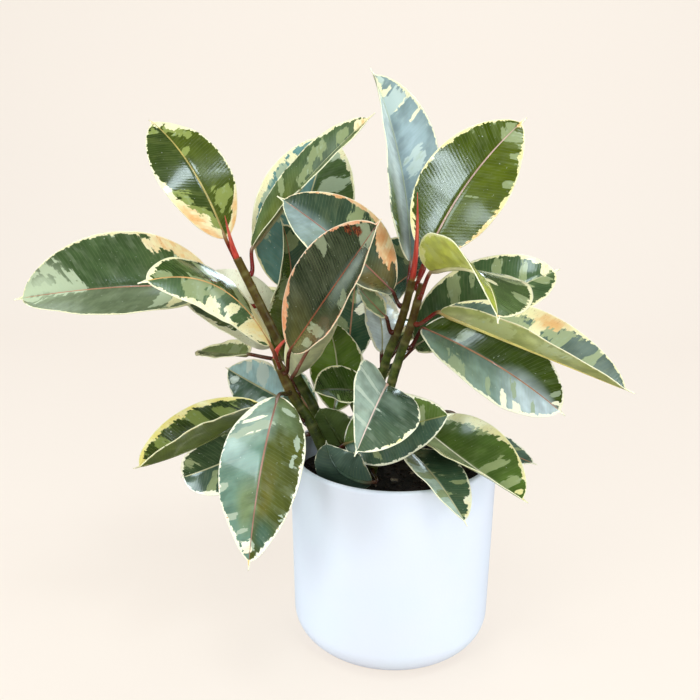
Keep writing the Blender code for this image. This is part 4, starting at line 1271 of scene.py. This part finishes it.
# Soft lights that give no gloss: place, aim height, size, power and colour
SOFT = (
    ((-1.1, -1.3, 1.1), 0.25, 0.7, 7.5, (1.0, 0.96, 0.86)),
    ((1.1, -1.3, 1.1), 0.25, 0.7, 7.5, (1.0, 0.96, 0.86)),
    ((0.0, -0.6, 1.9), 0.25, 0.7, 8.5, (1.0, 0.97, 0.90)),
    ((-1.3, -0.35, 0.12), 0.09, 0.5, 8.5, (0.84, 0.95, 1.0)),
    ((1.3, -0.35, 0.12), 0.09, 0.5, 7.5, (0.90, 0.96, 1.0)),
    ((0.0, 1.1, 1.5), 0.25, 0.9, 5.0, (1.0, 0.97, 0.92)),
)
CROWN = (-0.02, 0.0, 0.30)
ROOM_BRIGHT = (0.31, 0.33, 0.35)
ROOM_DIM = (0.13, 0.13, 0.12)
ROOM_GLOSS = 0.25


def build_backdrop():
    """A pale floor that curves up into a wall behind the plant."""
    depth = [(BACKDROP_FRONT, 0.0), (0.2, 0.0), (BACKDROP_BEND, 0.0)]
    for turn in np.radians(np.arange(10, 91, 10)):
        back = BACKDROP_BEND + BACKDROP_RADIUS * math.sin(turn)
        depth.append((back, BACKDROP_RADIUS - BACKDROP_RADIUS * math.cos(turn)))
    depth.append((BACKDROP_BEND + BACKDROP_RADIUS, BACKDROP_TOP))
    points = [(x, y, z) for y, z in depth for x in (-BACKDROP_HALF_WIDTH, BACKDROP_HALF_WIDTH)]
    faces = [(2 * k, 2 * k + 1, 2 * k + 3, 2 * k + 2) for k in range(len(depth) - 1)]
    mesh = bpy.data.meshes.new("studio_backdrop")
    mesh.from_pydata(points, [], faces)
    mesh.shade_smooth()
    g = material("studio_backdrop")
    paper = g.noise(g.place(), 40.0, 2.0)
    tone = g.mix(g.times(paper, 0.03), (136, 131, 125), (131, 126, 120))
    g.set(Specular_IOR_Level=0.0, Emission_Color=(*linear(BACKDROP_GLOW), 1.0), Emission_Strength=0.70)
    mesh.materials.append(g.finish(tone, 1.0, g.bump(paper, 0.01 * MM)))
    obj = bpy.data.objects.new("studio_backdrop", mesh)
    bpy.context.scene.collection.objects.link(obj)
    obj.visible_glossy = False


def add_light(name, place, target, size, power, colour):
    light = bpy.data.lights.new(name, "AREA")
    light.shape = "RECTANGLE"
    light.size = size[0]
    light.size_y = size[1]
    light.energy = power
    light.color = colour
    obj = bpy.data.objects.new(name, light)
    obj.location = place
    aim = Vector(target) - Vector(place)
    obj.rotation_euler = aim.to_track_quat("-Z", "Y").to_euler()
    bpy.context.scene.collection.objects.link(obj)
    return obj


def build_world():
    """Room light that is brighter and bluer from the front and above."""
    world = bpy.data.worlds.new("studio")
    g = Graph(world, "Background")
    _, back, up = g.parts(g.place("Generated"))
    blend = g.node("ShaderNodeMix", data_type="RGBA")
    g.feed(blend.inputs[0], g.ramp(g.math("SUBTRACT", up, back), -0.6, 1.2))
    g.feed(blend.inputs[6], (*ROOM_DIM, 1.0))
    g.feed(blend.inputs[7], (*ROOM_BRIGHT, 1.0))
    g.feed(g.shader.inputs["Color"], blend.outputs[2])
    glossy = g.node("ShaderNodeLightPath").outputs["Is Glossy Ray"]
    g.feed(g.shader.inputs["Strength"], g.ramp(glossy, 0.0, 1.0, 1.0, ROOM_GLOSS))
    bpy.context.scene.world = world


def build_light():
    for number, (turn, rise, width, height, brightness) in enumerate(WINDOWS):
        place = np.array(CROWN) + WINDOW_REACH * direction(turn, rise)
        power = brightness * width * height * math.pi
        add_light("window_%d" % number, place, CROWN, (width, height), power, WINDOW_COLOUR)
    for number, (place, aim, size, power, colour) in enumerate(SOFT):
        soft = add_light("soft_%d" % number, place, (0.0, 0.0, aim), (size, size), power, colour)
        soft.visible_glossy = False
    build_world()


def build_camera():
    level = math.cos(CAMERA_PITCH)
    forward = Vector((math.sin(CAMERA_YAW) * level, math.cos(CAMERA_YAW) * level, -math.sin(CAMERA_PITCH)))
    right = Vector((math.cos(CAMERA_YAW), -math.sin(CAMERA_YAW), 0.0))
    up = right.cross(forward)
    side = math.cos(CAMERA_ROLL) * right + math.sin(CAMERA_ROLL) * up
    above = math.cos(CAMERA_ROLL) * up - math.sin(CAMERA_ROLL) * right
    data = bpy.data.cameras.new("camera")
    data.sensor_width = SENSOR_WIDTH
    data.sensor_fit = "HORIZONTAL"
    data.lens = SENSOR_WIDTH * CAMERA_FOCAL / PICTURE_WIDTH
    data.clip_start = 0.01
    data.clip_end = 20.0
    camera = bpy.data.objects.new("camera", data)
    rows = Matrix((side, above, -forward)).transposed().to_4x4()
    camera.matrix_world = Matrix.Translation(CAMERA_PLACE) @ rows
    bpy.context.scene.collection.objects.link(camera)
    bpy.context.scene.camera = camera


build_camera()
bpy.context.scene.view_settings.view_transform = "Standard"
leaf_mat = leaf_material()
for number, name in enumerate(LEAVES):
    build_leaf(number, name, leaf_mat)
bark = bark_material()
for stem in STEMS:
    build_stem(stem, bark)
sheath = sheath_material()
for stem in BUDS:
    build_bud(stem, sheath)
build_pot()
build_soil()
build_backdrop()
build_light()
